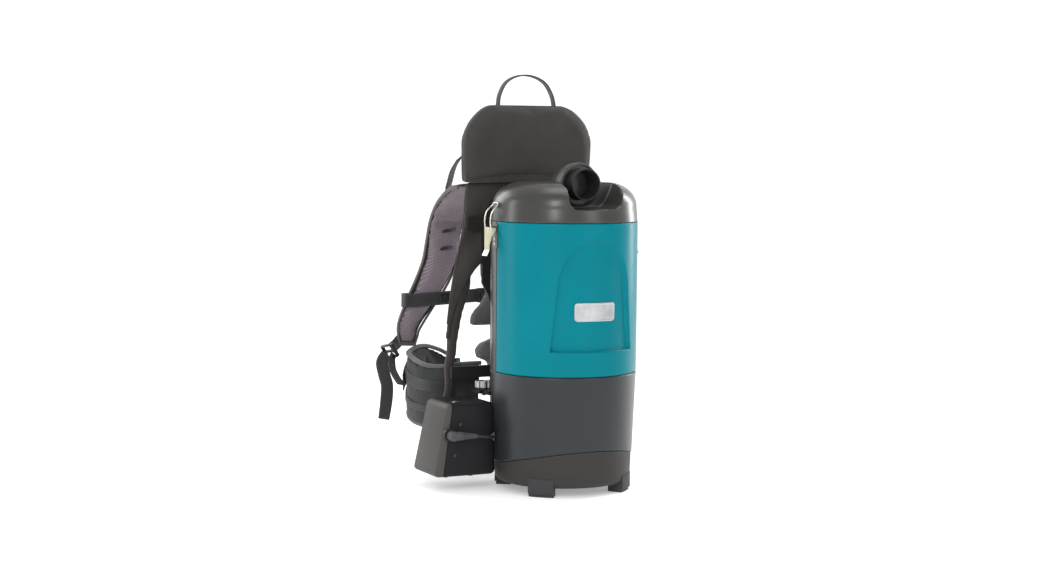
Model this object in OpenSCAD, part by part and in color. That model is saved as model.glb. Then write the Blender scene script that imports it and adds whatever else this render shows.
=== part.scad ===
// Backpack vacuum cleaner: a round canister with a lift-off lid, a motor in its base,
// a battery housing at the wearer's right hip and a padded harness on a back plate.
// Units are millimetres. The origin is the centre of the canister on the floor,
// +Z is up, -Y is the side of the hose inlet and +Y is the wearer's side.

/* [Canister] */
// Outer radius of the canister
can_r = 120.4; // [118:0.2:122]
// Height of the joint between motor housing and canister body
split_z = 195; // [190:1:198]
// Height of the joint between canister body and lid
rim_z = 440; // [436:1:442]
// Outer radius of the canister at its bottom edge
base_r = 112; // [110:0.5:114]
// Wall thickness of the moulded shells
wall = 3; // [2:0.5:3.5]
// Radius of the canister wall behind the front cover
front_r = 108; // [106:0.5:109]
// Radius of the sunk panel in the front cover
panel_r = 113.4; // [112.5:0.1:114]

/* [Inlet] */
// Height of the inlet's axis
inlet_z = 501; // [499:1:503]
// Inner radius of the swivel sleeve that takes the hose cuff
inlet_bore_r = 23; // [21:0.5:23]
// Outer radius of the swivel sleeve
sleeve_r = 25.5; // [25:0.1:25.6]
// Outer radius of the boss around the sleeve
boss_r = 35; // [34:0.5:36]
// Distance from the canister's axis to the face of the boss
boss_y = 54; // [52:1:58]
// Front of the hose sleeve, measured from the canister's axis
sleeve_y = 77.4; // [75:0.2:79]

/* [Latches] */
// Y of the middle of each latch
latch_y = 8; // [6:1:10]
// X of the lever's hinge pin
hinge_x = 125; // [125:0.5:126]
// Height of the lever's hinge pin
hinge_z = 428; // [426:1:429]
// Distance between the lever's hinge pin and the bail's pivot
bail_arm = 8; // [7:0.5:9]
// X of the bail's crossbar
crossbar_x = 120.5; // [120:0.1:121]
// Height of the bail's crossbar
crossbar_z = 470; // [469.8:0.1:470.5]

/* [Motor] */
// Radius of the motor's casing
motor_r = 60; // [55:1:62]
// Radius of the motor shaft
shaft_r = 4; // [3:0.5:5]
// Outer radius of the impeller
impeller_r = 50; // [44:1:52]

/* [Battery housing] */
// X of the housing's outer face at the floor end
battery_x0 = 219; // [212:1:224]
// X of the housing's outer face at the top
battery_x1 = 195; // [190:1:200]
// Height of the housing's bottom
battery_z0 = 24; // [20:1:30]
// Height of the housing's top
battery_z1 = 143; // [138:1:146]

/* [Harness] */
// Y of the front of the harness
harness_y = 138; // [137:0.5:140]
// Thickness of the hard back plate
plate_t = 5; // [4:0.5:6]
// Width of the flat webbing
webbing_w = 22; // [20:1:26]
// Thickness of the flat webbing
webbing_t = 2.4; // [2:0.2:3]

/* [Hidden] */

$fn = 96;
gap = 0.3;                          // clearance between neighbouring pieces
dark = "#4a4846";
grey = "#44484c";
teal = "#0a8a98";
black = "#222224";
fabric = "#484543";
metal = "#c9c6a6";
front_a0 = -182;                    // the front cover spans these angles
front_a1 = 2;
battery_y0 = 21;                    // front face of the battery housing
battery_y1 = 122;                   // rear face of the battery housing
socket_at = [-194, 94];             // X and Z of the battery socket
knob_x = 84;                        // X of each clamp knob's axis
knob_y = 130;
knob_z = 154;
switch_at = [-172, 44];             // X and Y of the rocker switch

// Route of the lead from the plug's sleeve to the gland, at round coordinates
LEAD_ROUTE = [
    [-152, 6, 92], [-148, 5, 91.5], [-144, 4, 91], [-140, 3.5, 90.5], [-136, 3.5, 90],
    [-132, 4, 89.5], [-128, 5.5, 89], [-124, 8, 88.5], [-121.6, 9.8, 88]
];
LEAD_D = 5;

// Stations of soft and webbing pieces on the left: x, y, z, width, thickness
STRAP = [
    [-88, 157, 492, 70, 12], [-88, 190, 488, 70, 13], [-88, 225, 474, 70, 14],
    [-88, 255, 455, 70, 14], [-88, 279, 427, 70, 14], [-89, 293, 389, 70, 14],
    [-94, 298, 358, 67, 14], [-105, 301, 328, 63, 14], [-127, 303, 288, 54, 13],
    [-148, 304, 248, 45, 12], [-152, 303, 227, 38, 11], [-153, 302, 213, 30, 9]
];
HIP_WING = [
    [-76, 176, 128, 130, 14], [-118, 179, 130, 124, 14], [-142, 190, 132, 112, 14],
    [-158, 212, 134, 110, 13], [-163, 244, 138, 112, 13], [-158, 278, 146, 110, 12],
    [-142, 306, 158, 94, 12], [-116, 324, 172, 74, 11], [-88, 333, 172, 58, 10],
    [-64, 335, 166, 44, 8]
];
LIFTER = [
    [-124, 160.5, 537, webbing_w - 2, webbing_t], [-119, 182, 523, webbing_w - 2, webbing_t],
    [-112, 212, 503, webbing_w - 2, webbing_t], [-106, 232, 491, webbing_w - 2, webbing_t]
];
HAUL_LOOP = [
    [-53, 148, 632.4, 14, 2.6], [-49, 150, 648, 14, 2.6], [-36, 152, 669, 14, 2.6],
    [-13, 154, 680, 14, 2.6], [13, 154, 680, 14, 2.6], [36, 152, 669, 14, 2.6],
    [49, 150, 648, 14, 2.6], [53, 148, 632.4, 14, 2.6]
];
LOWER_STRAP = [
    [-180, 300, 197, webbing_w, webbing_t], [-184, 297, 186, webbing_w, webbing_t],
    [-186, 289, 172, webbing_w, webbing_t], [-184, 277, 159, webbing_w, webbing_t],
    [-180, 262, 147, webbing_w, webbing_t]
];
STRAP_ANCHOR = [
    [-154, 311, 230, webbing_w - 2, webbing_t], [-163, 310.5, 221, webbing_w - 2, webbing_t],
    [-173, 308, 212, webbing_w - 2, webbing_t], [-183, 304, 206, webbing_w - 2, webbing_t]
];
STRAP_TAIL = [
    [-191, 304, 196, webbing_w, webbing_t], [-199, 306, 182, webbing_w, webbing_t],
    [-195, 306, 160, webbing_w, webbing_t], [-190, 305, 140, webbing_w, webbing_t],
    [-192, 304, 112, webbing_w, webbing_t], [-197, 303, 82, webbing_w - 2, webbing_t]
];
BELT_LOOP = [
    [-66, 344, 166, 34, 3], [-90, 342.5, 170, 34, 3], [-121, 333.5, 172, 34, 3],
    [-150.5, 313.5, 158, 34, 3], [-168, 284, 148, 32, 3]
];

function unit(v) = v / norm(v);
function xyz(p) = [p[0], p[1], p[2]];
function spline(p0, p1, p2, p3, t) =
    0.5 * (2 * p1 + (p2 - p0) * t + (2 * p0 - 5 * p1 + 4 * p2 - p3) * t * t
        + (3 * p1 - p0 - 3 * p2 + p3) * t * t * t);
// Points through p, with n steps from each to the next
function smooth(p, n) = concat(
    [for (i = [0 : len(p) - 2]) for (j = [0 : n - 1])
        spline(p[max(i - 1, 0)], p[i], p[i + 1], p[min(i + 2, len(p) - 1)], j / n)],
    [p[len(p) - 1]]);
function grown(stations, g) = [for (s = stations) [s[0], s[1], s[2], s[3] + 2 * g, s[4] + 2 * g]];
function ring_section(n) = [for (i = [0 : n - 1]) [cos(360 * i / n), sin(360 * i / n)]];
BAND = [[1, -0.5], [1, 0.5], [0.9, 1], [-0.9, 1], [-1, 0.5], [-1, -0.5], [-0.9, -1], [0.9, -1]];

// Body swept through stations of x, y, z, width and thickness
module sweep(stations, side, section = BAND, steps = 2) {
    s = smooth(stations, steps);
    n = len(s);
    m = len(section);
    points = [for (i = [0 : n - 1])
        let (t = unit(xyz(s[min(i + 1, n - 1)]) - xyz(s[max(i - 1, 0)])),
             normal = unit(cross(t, side)),
             across = cross(normal, t))
        for (k = section) xyz(s[i]) + across * k[0] * s[i][3] / 2 + normal * k[1] * s[i][4] / 2];
    faces = concat(
        [[for (k = [0 : m - 1]) k]],
        [[for (k = [m - 1 : -1 : 0]) (n - 1) * m + k]],
        [for (i = [0 : n - 2]) for (k = [0 : m - 1])
            [i * m + k, (i + 1) * m + k, (i + 1) * m + (k + 1) % m]],
        [for (i = [0 : n - 2]) for (k = [0 : m - 1])
            [i * m + k, (i + 1) * m + (k + 1) % m, i * m + (k + 1) % m]]);
    polyhedron(points, faces, convexity = 6);
}

// Part of a tube about the Z axis between two radii, heights and angles
module arc_wall(r0, r1, z0, z1, a0 = 0, a1 = 360) {
    rotate([0, 0, a0])
        rotate_extrude(angle = a1 - a0)
            translate([r0, z0])
                square([r1 - r0, z1 - z0]);
}

// Outline in X and Z extruded from y0 to y1
module slab(y0, y1) {
    translate([0, y1, 0])
        rotate([90, 0, 0])
            linear_extrude(height = y1 - y0)
                children();
}

module both_sides() {
    children();
    mirror([1, 0, 0])
        children();
}

// Round bar along Y, centred on latch_y
module bar_y(x, z, r, length) {
    translate([x, latch_y + length / 2, z])
        rotate([90, 0, 0])
            cylinder(r = r, h = length, $fn = 32);
}

// Arch of the sunk panel in X and Z, grown by g
module arch(g = 0) {
    polygon(concat(
        [for (a = [0 : 10 : 180]) [(64 + g) * cos(a), 330 + (85 + g) * sin(a)]],
        [[-72 - g, 246], [-66 - g, 235 - g], [66 + g, 235 - g], [72 + g, 246]]));
}

// Everything below the styling line, which dips from the front towards the back
module below_line(drop = 0) {
    rotate([90, 0, 90])
        linear_extrude(height = 300, center = true)
            polygon(concat(
                [[130, 0], [130, 43 - drop]],
                [for (t = [0 : 0.125 : 1]) [60 - 190 * t, 43 + 36 * pow(t, 1.6) - drop]],
                [[-130, 0]]));
}

// Cone that the outside of the lower housing follows, made smaller by inset
module lower_cone(z0, z1, inset = 0) {
    slope = (can_r - base_r) / split_z;
    translate([0, 0, z0])
        cylinder(r1 = base_r + slope * z0 - inset, r2 = base_r + slope * z1 - inset,
                 h = z1 - z0, $fn = 128);
}

// Outline of the canister body, which steps out behind the front cover's edges
module body_outline(t) {
    circle(r = front_r - t);
    intersection() {
        circle(r = can_r - t);
        translate([-200, can_r * sin(front_a1 + 0.5) + t])
            square([400, 200]);
    }
}

module canister_body() color(dark) {
    difference() {
        translate([0, 0, split_z])
            linear_extrude(height = rim_z - split_z)
                difference() {
                    body_outline(0);
                    body_outline(wall);
                }
        translate([0, 0, rim_z - 2])
            cylinder(r = can_r - wall, h = 10);
    }
    translate([0, 0, rim_z - 6])
        linear_extrude(height = 4)
            difference() {
                body_outline(1);
                circle(r = front_r - wall - 0.8);
            }
}

module front_cover() color(teal) {
    difference() {
        arc_wall(can_r - wall, can_r, split_z + gap, rim_z, front_a0, front_a1);
        slab(-200, 0) arch();
    }
    intersection() {
        arc_wall(panel_r - wall, panel_r, split_z + gap, rim_z, -150, -30);
        slab(-200, 0) arch(2.5);
    }
    intersection() {
        arc_wall(panel_r - wall, can_r - 1, split_z + gap, rim_z, -150, -30);
        slab(-200, 0) difference() {
            arch(2.5);
            arch();
        }
    }
}

module badge() color("#c8cacc") intersection() {
    arc_wall(panel_r + 0.1, panel_r + 1.8, 270, 330, -130, -50);
    slab(-200, 0) translate([0, 299]) {
        square([72, 18], center = true);
        square([60, 30], center = true);
        for (x = [-30, 30], z = [-9, 9])
            translate([x, z])
                circle(r = 6);
    }
}

module motor_housing() color(grey) difference() {
    union() {
        difference() {
            lower_cone(30, split_z - gap);
            lower_cone(29, split_z, wall);
        }
        arc_wall(44, can_r - wall + 0.5, split_z - 6, split_z - 2.5);
    }
    below_line();
    foot_pockets(0.6);
}

module foot_pockets(g) {
    for (a = [45 : 90 : 315])
        arc_wall(84 - g, 140, -1, 30 + g, a - 11.5 - g / 2, a + 11.5 + g / 2);
}

module base_cover() color("#4a4644") difference() {
    intersection() {
        union() {
            difference() {
                lower_cone(14, 100, 0.6);
                lower_cone(17, 101, wall + 0.6);
            }
            arc_wall(96, 99, 14, 32);
        }
        below_line(0.8);
        rotate_extrude()
            polygon([[0, 14], [base_r - 9, 14], [base_r - 4, 16], [base_r, 23], [140, 60],
                     [140, 120], [0, 120]]);
    }
    foot_pockets(0.6);
    for (a = [0 : 30 : 330])
        rotate([0, 0, a])
            translate([40, -3, 0])
                cube([34, 6, 30]);
}

// Four corner feet and one in the middle, all ending on the floor
module feet() color(black) {
    for (a = [45 : 90 : 315])
        rotate([0, 0, a])
            difference() {
                arc_wall(86, 113, 0, 29, -11, 11);
                arc_wall(80, 104, 22, 60, -15, 15);
                arc_wall(110.5, 120, -1, 5, -15, 15);
            }
    cylinder(r1 = 17, r2 = 20, h = 14 - gap);
}

// Outline of the lid's dome from the rim to the middle, made smaller by t
function dome(t) = concat(
    [[can_r - t, 0], [can_r - 1.4 - t, 16], [can_r - 2.6 - t, 23]],
    [for (a = [10 : 12 : 82]) [70 - t / 2 + (48 - t / 2) * cos(a), 25 + (38.4 - t) * sin(a)]],
    [[0, 65 - t]]);

module dome_solid(t) {
    translate([0, 0, rim_z + gap])
        rotate_extrude($fn = 128)
            polygon(concat([[0, 0]], dome(t)));
}

// Space scooped out of the front of the dome below the inlet
module scoop(g = 0) {
    translate([0, -boss_y + 5 + g, inlet_z])
        rotate([90, 0, 0])
            linear_extrude(height = 90)
                polygon([[-40 - g, 60], [-41 - g, 0], [-45 - g, -28], [-42 - g, -36 - g / 2],
                         [-34, -40 - g], [38, -38 - g], [46 + g, -32], [62 + g, 0],
                         [70 + g, 60]]);
}

module along_inlet(y0, y1, r) {
    translate([0, y1, inlet_z])
        rotate([90, 0, 0])
            cylinder(r = r, h = y1 - y0);
}

// Quarter bend that turns the inlet's bore downwards
module inlet_bend(r) {
    translate([0, -22, inlet_z - 34])
        rotate([90, 0, 90])
            rotate_extrude(angle = 90)
                translate([34, 0])
                    circle(r = r);
    translate([0, 12, rim_z - 4])
        cylinder(r = r, h = inlet_z - 34 - rim_z + 4);
}

module lid() color(dark) difference() {
    union() {
        difference() {
            dome_solid(0);
            scoop();
            difference() {
                dome_solid(wall);
                scoop(wall);
            }
        }
        arc_wall(front_r - wall - 4, front_r - wall - 1, rim_z - 9, rim_z + 6);
        arc_wall(front_r - wall - 4, can_r - 2, rim_z + gap, rim_z + 4);
        along_inlet(-boss_y, -22, boss_r);
        hull() {
            along_inlet(-boss_y + 4, -boss_y + 14, boss_r - 1);
            translate([0, 6, rim_z + 54])
                sphere(r = 14, $fn = 20);
            translate([0, -12, inlet_z - 10])
                cylinder(r1 = 34, r2 = 24, h = 16, $fn = 24);
        }
        inlet_bend(27);
    }
    along_inlet(-boss_y - 1, -boss_y + 5, boss_r - 3.4);
    along_inlet(-boss_y - 1, -32, sleeve_r + 0.3);
    along_inlet(-33, -22, inlet_bore_r);
    inlet_bend(inlet_bore_r);
}

module lid_gasket() color(black)
    arc_wall(front_r - wall + 1, can_r - 6, rim_z - 1.8, rim_z + 0.1);

module lid_catches() color(metal) both_sides()
    difference() {
        translate([-crossbar_x - 1.5, latch_y - 5.5, crossbar_z - 8])
            difference() {
                cube([8, 11, 5.4]);
                translate([-1, -1, -1])
                    rotate([0, 20, 0])
                        cube([6, 20, 3]);
            }
        dome_solid(-0.06);
    }

module inlet_sleeve() color(black) difference() {
    union() {
        along_inlet(-sleeve_y, -33.5, sleeve_r);
        along_inlet(-sleeve_y, -sleeve_y + 2, sleeve_r + 0.4);
    }
    along_inlet(-sleeve_y - 2, -30, inlet_bore_r);
}

module latch_brackets() color(metal) both_sides() difference() {
    union() {
        translate([-can_r - 1.4, latch_y - 8, 398])
            cube([1.2, 16, 38]);
        for (y = [-6, 4.5])
            translate([-can_r - 1.4, latch_y + y, hinge_z - 5])
                translate([-6.2, 0, 0])
                    cube([6.4, 1.5, 10]);
    }
    bar_y(-hinge_x, hinge_z, 1.55, 30);
}

module latch_pins() color("#d8d8d4") both_sides() {
    bar_y(-hinge_x, hinge_z, 1.5, 15.4);
    for (z = [404, 412])
        translate([-can_r - 2.4, latch_y, z])
            rotate([0, 90, 0])
                cylinder(r = 2.4, h = 0.9, $fn = 32);
}

module latch_lever() color(metal) {
    bail_x = -hinge_x - bail_arm;
    x0 = bail_x - 3.4;
    x1 = x0 + 1.4;
    foot = hinge_z - 34;
    kick = 4.4;
    difference() {
        union() {
            slab(latch_y - 9, latch_y + 9)
                polygon([[x0, hinge_z + 3], [x1, hinge_z + 3], [x1, foot], [x1 - kick, foot - 10],
                         [x0 - kick, foot - 10], [x0, foot]]);
            for (y = [-8.6, 7.2])
                slab(latch_y + y, latch_y + y + 1.4)
                    polygon([[x0 + 0.7, hinge_z + 2.6], [-hinge_x + 2, hinge_z + 2],
                             [-hinge_x + 2, hinge_z - 2], [bail_x + 2, hinge_z - 12],
                             [x0 + 0.7, hinge_z - 30]]);
        }
        bar_y(-hinge_x, hinge_z, 1.57, 30);
        bar_y(bail_x, hinge_z, 1.33, 30);
    }
}

// Bent wire loop whose ends turn inwards through the lever's cheeks
module latch_bail() color("#d6d4c0") {
    bail_x = -hinge_x - bail_arm;
    rise = crossbar_z - hinge_z;
    wire = 2.5;
    leg = [[bail_x, 10.5, hinge_z - 1.2], [bail_x - 2, 10.7, hinge_z + rise * 0.3],
           [bail_x + 1, 10.7, hinge_z + rise * 0.65], [-crossbar_x - 1.5, 9.6, crossbar_z - 4],
           [-crossbar_x, 6, crossbar_z]];
    sweep([for (s = [-1, 1]) for (i = [0 : 4])
               let (p = leg[s < 0 ? i : 4 - i])
               [p[0], latch_y + s * p[1], p[2], wire, wire]],
          [1, 0, 0], ring_section(8));
    for (s = [-1, 1])
        translate([0, s * 8.9, 0])
            bar_y(bail_x, hinge_z, wire / 2, 4.6);
}

module filter_bag() color("#d8d4c8") difference() {
    hull() {
        translate([0, 0, 240])
            cylinder(r = 70, h = 1, $fn = 48);
        translate([0, 0, 262])
            cylinder(r = 96, h = 130, $fn = 48);
        translate([0, 0, 415])
            cylinder(r = 84, h = 1, $fn = 48);
    }
    translate([0, 12, 250])
        cylinder(r = 30, h = 200);
}

module bag_collar() color("#3a6ea0")
    difference() {
        translate([0, 0, 418])
            cylinder(r = 100, h = 4);
        translate([0, 12, 417])
            cylinder(r = 29, h = 6);
    }

module filter_grid() color(black) difference() {
    translate([0, 0, split_z - 2.2])
        cylinder(r = 104, h = 3.2);
    for (x = [-80 : 20 : 80], y = [-80 : 20 : 80])
        if (norm([x, y]) < 85)
            translate([x - 7, y - 7, split_z - 4])
                cube([14, 14, 10]);
}

module motor_filter() color("#e6e4dc")
    translate([0, 0, split_z + 1.4])
        cylinder(r = 102, h = 24);

module motor_plate() color(grey) difference() {
    arc_wall(24, 110, 60, 64);
    for (a = [0 : 45 : 315])
        rotate([0, 0, a])
            translate([66, -12, 58])
                cube([26, 24, 8]);
}

module motor_can() color("#9a9c9e") {
    arc_wall(motor_r - 1.5, motor_r, 82, 184);
    difference() {
        arc_wall(11.05, motor_r - 1.5, 82, 84);
        for (a = [0 : 60 : 300])
            rotate([0, 0, a])
                translate([24, -6, 80])
                    cube([22, 12, 6]);
    }
    arc_wall(11.05, motor_r - 1.5, 158, 160.5);
    arc_wall(22, motor_r - 1.5, 182, 184);
    arc_wall(40, motor_r - 1.8, 98, 144);
}

module rotor() color("#b06a3a")
    arc_wall(shaft_r + 0.02, 38, 98, 142);

module motor_shaft() color("#c4c6c8")
    translate([0, 0, 74])
        cylinder(r = shaft_r, h = 102);

module motor_bearings() color("#b8babc") for (z = [80, 154])
    arc_wall(shaft_r + 0.05, 11, z, z + 7);

module impeller() color("#a8acb0") {
    arc_wall(shaft_r + 0.02, impeller_r, 164, 165.5);
    for (a = [0 : 40 : 320])
        rotate([0, 0, a])
            translate([16, -0.8, 165.4])
                rotate([0, 0, 18])
                    cube([32, 1.6, 11]);
}

module motor_mounts() color(black) {
    arc_wall(motor_r - 12, motor_r + 6, 184.2, split_z - 6.2);
    arc_wall(26, 48, 64.2, 81.8);
}

module exhaust_foam() color("#8a8c88")
    arc_wall(78, 98, 64.3, 160);

// Rounded wedge of the battery housing, made smaller by t
module battery_block(t) {
    r = 9;
    d = r + t;
    hull()
        for (y = [battery_y0 + d, battery_y1 - d]) {
            translate([-battery_x0 + d, y, battery_z0 + d])
                sphere(r = r, $fn = 24);
            translate([-110 - d, y, battery_z0 + d])
                sphere(r = r, $fn = 24);
            translate([-battery_x1 + d, y * 0.92 + 3, battery_z1 - d])
                sphere(r = r, $fn = 24);
            translate([-110 - d, y * 0.92 + 3, battery_z1 - d])
                sphere(r = r, $fn = 24);
        }
}

module cover_side(g) {
    translate([-battery_x0 - 20, 0, 0])
        slab(0, 140)
            polygon([[0, 0], [31 - g, 0], [31 - g + (battery_x0 - battery_x1), 160], [0, 160]]);
}

module socket_hole()
    translate([socket_at[0], battery_y0 + 20, socket_at[1]])
        rotate([90, 0, 0])
            cylinder(r = 10.3, h = 30);

module battery_housing() color("#2a282a") difference() {
    battery_block(0);
    battery_block(wall);
    cover_side(0);
    cylinder(r1 = base_r + 0.6, r2 = can_r + 0.6, h = split_z);
    socket_hole();
    translate([switch_at[0] - 11.2, switch_at[1] - 7.7, battery_z1 - 12])
        cube([22.4, 15.4, 30]);
}

module battery_cover() color("#66625e") difference() {
    battery_block(0);
    battery_block(wall);
    socket_hole();
    difference() {
        translate([-300, 0, 0])
            cube([300, 200, 200]);
        cover_side(0.4);
    }
}

module battery_pack() color("#30507a")
    translate([-184, 34, 44])
        cube([58, 74, 82]);

module control_board() color("#1f6b3a") {
    translate([-184, 34, 33])
        cube([58, 74, 1.6]);
    for (x = [-176, -160, -144])
        translate([x, 50, 34.7])
            cube([9, 9, 6]);
}

module switch_bezel() color(black) difference() {
    translate([switch_at[0] - 11, switch_at[1] - 7.5, battery_z1 - 4])
        cube([22, 15, 5.2]);
    translate([switch_at[0] - 8.6, switch_at[1] - 5.2, battery_z1 - 8])
        cube([17.2, 10.4, 20]);
}

// Rocker, whose pivot runs along Y
module power_switch() color("#1c1c1e") intersection() {
    translate([switch_at[0] - 8, switch_at[1] - 4.8, battery_z1 - 6])
        cube([16, 9.6, 12]);
    translate([switch_at[0], switch_at[1] + 10, battery_z1 - 5])
        rotate([90, 0, 0])
            cylinder(r = 8.2, h = 20);
}

module battery_socket() color(black)
    translate([socket_at[0], battery_y0 + 9, socket_at[1]])
        rotate([90, 0, 0]) {
            cylinder(r = 10, h = 12);
            translate([0, 0, 10])
                cylinder(r = 11, h = 3);
        }

module lead_plug() color("#3a3a3c") {
    translate([socket_at[0], battery_y0 - 4.3, socket_at[1]])
        rotate([90, 0, 0])
            cylinder(r = 8, h = 16.5);
    translate([socket_at[0] + 2, 6, socket_at[1] - 0.5])
        rotate([0, 90, 0])
            cylinder(r1 = 7.5, r2 = 6.6, h = 17);
    sweep([[-176, 6, 93.5, 12.6, 12.6], [-168, 6, 93.2, 10, 10], [-160, 6, 92.6, 8.6, 8.6],
           [-152.1, 6, 92, 7.4, 7.4]], [0, 1, 0], ring_section(12));
}

module power_lead() color(black)
    sweep([for (p = LEAD_ROUTE) [p[0], p[1], p[2], LEAD_D, LEAD_D]], [0, 0, 1], ring_section(8), 1);

module lead_gland() color(black)
    translate([-115.4, 14.2, 88])
        rotate([0, 0, 144.5])
            rotate([0, 90, 0]) {
                translate([0, 0, 0.6])
                    cylinder(r = 7.5, h = 3, $fn = 48);
                cylinder(r1 = 5.5, r2 = 4, h = 7.4, $fn = 48);
            }

module housing_screws() color("#1a1a1c") {
    for (x = [-184, -140])
        translate([x, 60, battery_z0 - 6])
            cylinder(r = 4, h = 5.8, $fn = 32);
    for (z = [60, 110])
        translate([-battery_x0 + 26.5 + (z - battery_z0) * 0.2, battery_y0 - 0.2 + z * 0.006, z])
            rotate([90, 0, 0])
                cylinder(r = 3, h = 1.2, $fn = 32);
}

module back_plate() color("#3a3a3c")
    slab(harness_y, harness_y + plate_t)
        difference() {
            union() {
                polygon([[-66, 470], [-84, 440], [-84, 330], [-68, 300], [-66, 150], [66, 150],
                         [68, 300], [84, 330], [84, 440], [66, 470]]);
                translate([-140, knob_z + 16])
                    square([280, 20]);
                translate([-110, 420])
                    square([220, 22]);
            }
            for (z = [200, 262, 330, 392])
                translate([-26, z - 16])
                    square([52, 34]);
        }

module upper_bracket() color("#2c2c2e") difference() {
    translate([-56, 96, 396])
        cube([112, harness_y - 96 - gap, 30]);
    translate([0, 0, 380])
        cylinder(r = can_r + gap, h = 60);
    for (x = [-30, 30])
        translate([x - 18, 100, 400])
            cube([36, 60, 22]);
}

module lower_bracket() color("#2c2c2e") difference() {
    union() {
        translate([-102, 84, knob_z - 8])
            cube([204, harness_y - 84 - gap, 6]);
        both_sides()
            translate([-knob_x, knob_y, knob_z - 2.2])
                cylinder(r = 7, h = 2);
    }
    translate([0, 0, 100])
        cylinder(r = can_r + gap, h = 100);
    both_sides() {
        translate([-118, 70, 100])
            cube([22, 38, 100]);
        translate([-knob_x, knob_y, 100])
            cylinder(r = 4.08, h = 100);
    }
}

// Hand knob with a threaded stud that passes through the lower bracket
module clamp_knob() color("#a8aaac") {
    difference() {
        cylinder(r = 15, h = 11);
        for (a = [0 : 45 : 315])
            rotate([0, 0, a])
                translate([17, 0, -1])
                    cylinder(r = 4, h = 13, $fn = 32);
        translate([0, 0, 9.6])
            cylinder(r = 9, h = 3);
    }
    translate([0, 0, -14])
        cylinder(r = 4, h = 14.2);
}

module back_cover() color(fabric) slab(harness_y + plate_t + gap, harness_y + plate_t + 5)
    polygon([[-108, 500], [-112, 495], [-116, 440], [-118, 419], [-129, 368], [-138, 317],
             [-145, 259], [-148, 236], [-141, 236], [-138, 262], [-126, 300], [-113, 327],
             [-97, 350], [-70, 376], [70, 376], [97, 350], [113, 327], [126, 300],
             [138, 262], [141, 236], [148, 236], [145, 259], [138, 317], [129, 368],
             [118, 419], [116, 440], [112, 495], [108, 500]]);

module side_columns() color("#3c3a38") both_sides()
    slab(harness_y + plate_t + 5 + gap, harness_y + plate_t + 17)
        polygon([[-100, 480], [-110, 440], [-126, 368], [-136, 317], [-144, 235], [-150, 134],
                 [-137, 134], [-124, 235], [-110, 280], [-99, 315], [-94, 350], [-92, 400],
                 [-91, 480]]);

module centre_pad() color(fabric)
    slab(harness_y + plate_t + 5 + gap, harness_y + plate_t + 25)
        polygon([[-50, 480], [-80, 470], [-87, 440], [-87, 340], [-78, 306], [-88, 286],
                 [-102, 266], [-104, 246], [104, 246], [102, 266], [88, 286], [78, 306],
                 [87, 340], [87, 440], [80, 470], [50, 480]]);

module lumbar_pad() color("#5c5c60")
    slab(harness_y + plate_t + gap, harness_y + plate_t + 32)
        polygon([[-56, 244], [-82, 236], [-92, 224], [-90, 210], [-74, 196], [-66, 170],
                 [-66, 130], [-58, 96], [58, 96], [66, 130], [66, 170], [74, 196], [90, 210],
                 [92, 224], [82, 236], [56, 244]]);

module head_pad() color(fabric) slab(128, 160)
    polygon(concat(
        [[120, 503], [120, 572]],
        [for (a = [10 : 10 : 90]) [64 + 55 * cos(a), 572 + 60 * sin(a)]],
        [for (a = [90 : 10 : 170]) [-64 + 55 * cos(a), 572 + 60 * sin(a)]],
        [[-120, 572], [-120, 503]]));

module haul_loop() color(black)
    sweep(HAUL_LOOP, [0, 1, 0], BAND, 2);

module hip_wing() color("#3a3c3a")
    sweep(HIP_WING, [0, 0, 1], BAND, 2);

module shoulder_strap() color("#6e646c")
    sweep(STRAP, [1, 0, 0], BAND, 2);

module load_lifters() color(black) both_sides()
    sweep(LIFTER, [0.75, 0.6, 0.3], BAND, 2);

// Webbing across the chest, with a loop around each shoulder strap
module sternum_strap() color(black) {
    slab(290, 293)
        both_sides()
            polygon([[-160, 278], [-160, 302], [-26, 308], [-26, 284]]);
    both_sides()
        slab(313, 316)
            polygon([[-160, 278], [-160, 302], [-96, 304], [-96, 280]]);
}

module sternum_buckle() color("#1a1a1c") difference() {
    translate([-25.6, 286, 282])
        cube([51.2, 11, 28]);
    for (x = [-19, 8])
        translate([x, 280, 286])
            cube([11, 30, 5]);
}

// Webbing below each shoulder strap, made larger by g on each side
module strap_runs(g = 0) {
    sweep(grown(STRAP_ANCHOR, g), [0.7, 0, -0.7], BAND, 2);
    sweep(grown(LOWER_STRAP, g), [0.7, 0.6, 0], BAND, 2);
    sweep(grown(STRAP_TAIL, g), [0.85, -0.5, 0.1], BAND, 2);
}

module lower_webbing() color(black) both_sides()
    strap_runs();

module belt_webbing() color(black) both_sides()
    sweep(BELT_LOOP, [0, 0, 1], BAND, 2);

// Ladder lock below each shoulder strap and one buckle half at each belt end
module strap_hardware() color("#1c1c1e") {
    both_sides()
        difference() {
            translate([-186, 302, 202])
                rotate([0, -28, 0])
                    rotate([0, 0, 24])
                        cube([11, 30, 22], center = true);
            strap_runs(0.4);
        }
    translate([-63, 340.5, 151])
        cube([30, 9, 30]);
    translate([33, 340.5, 148])
        cube([30, 11, 36]);
}

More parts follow.
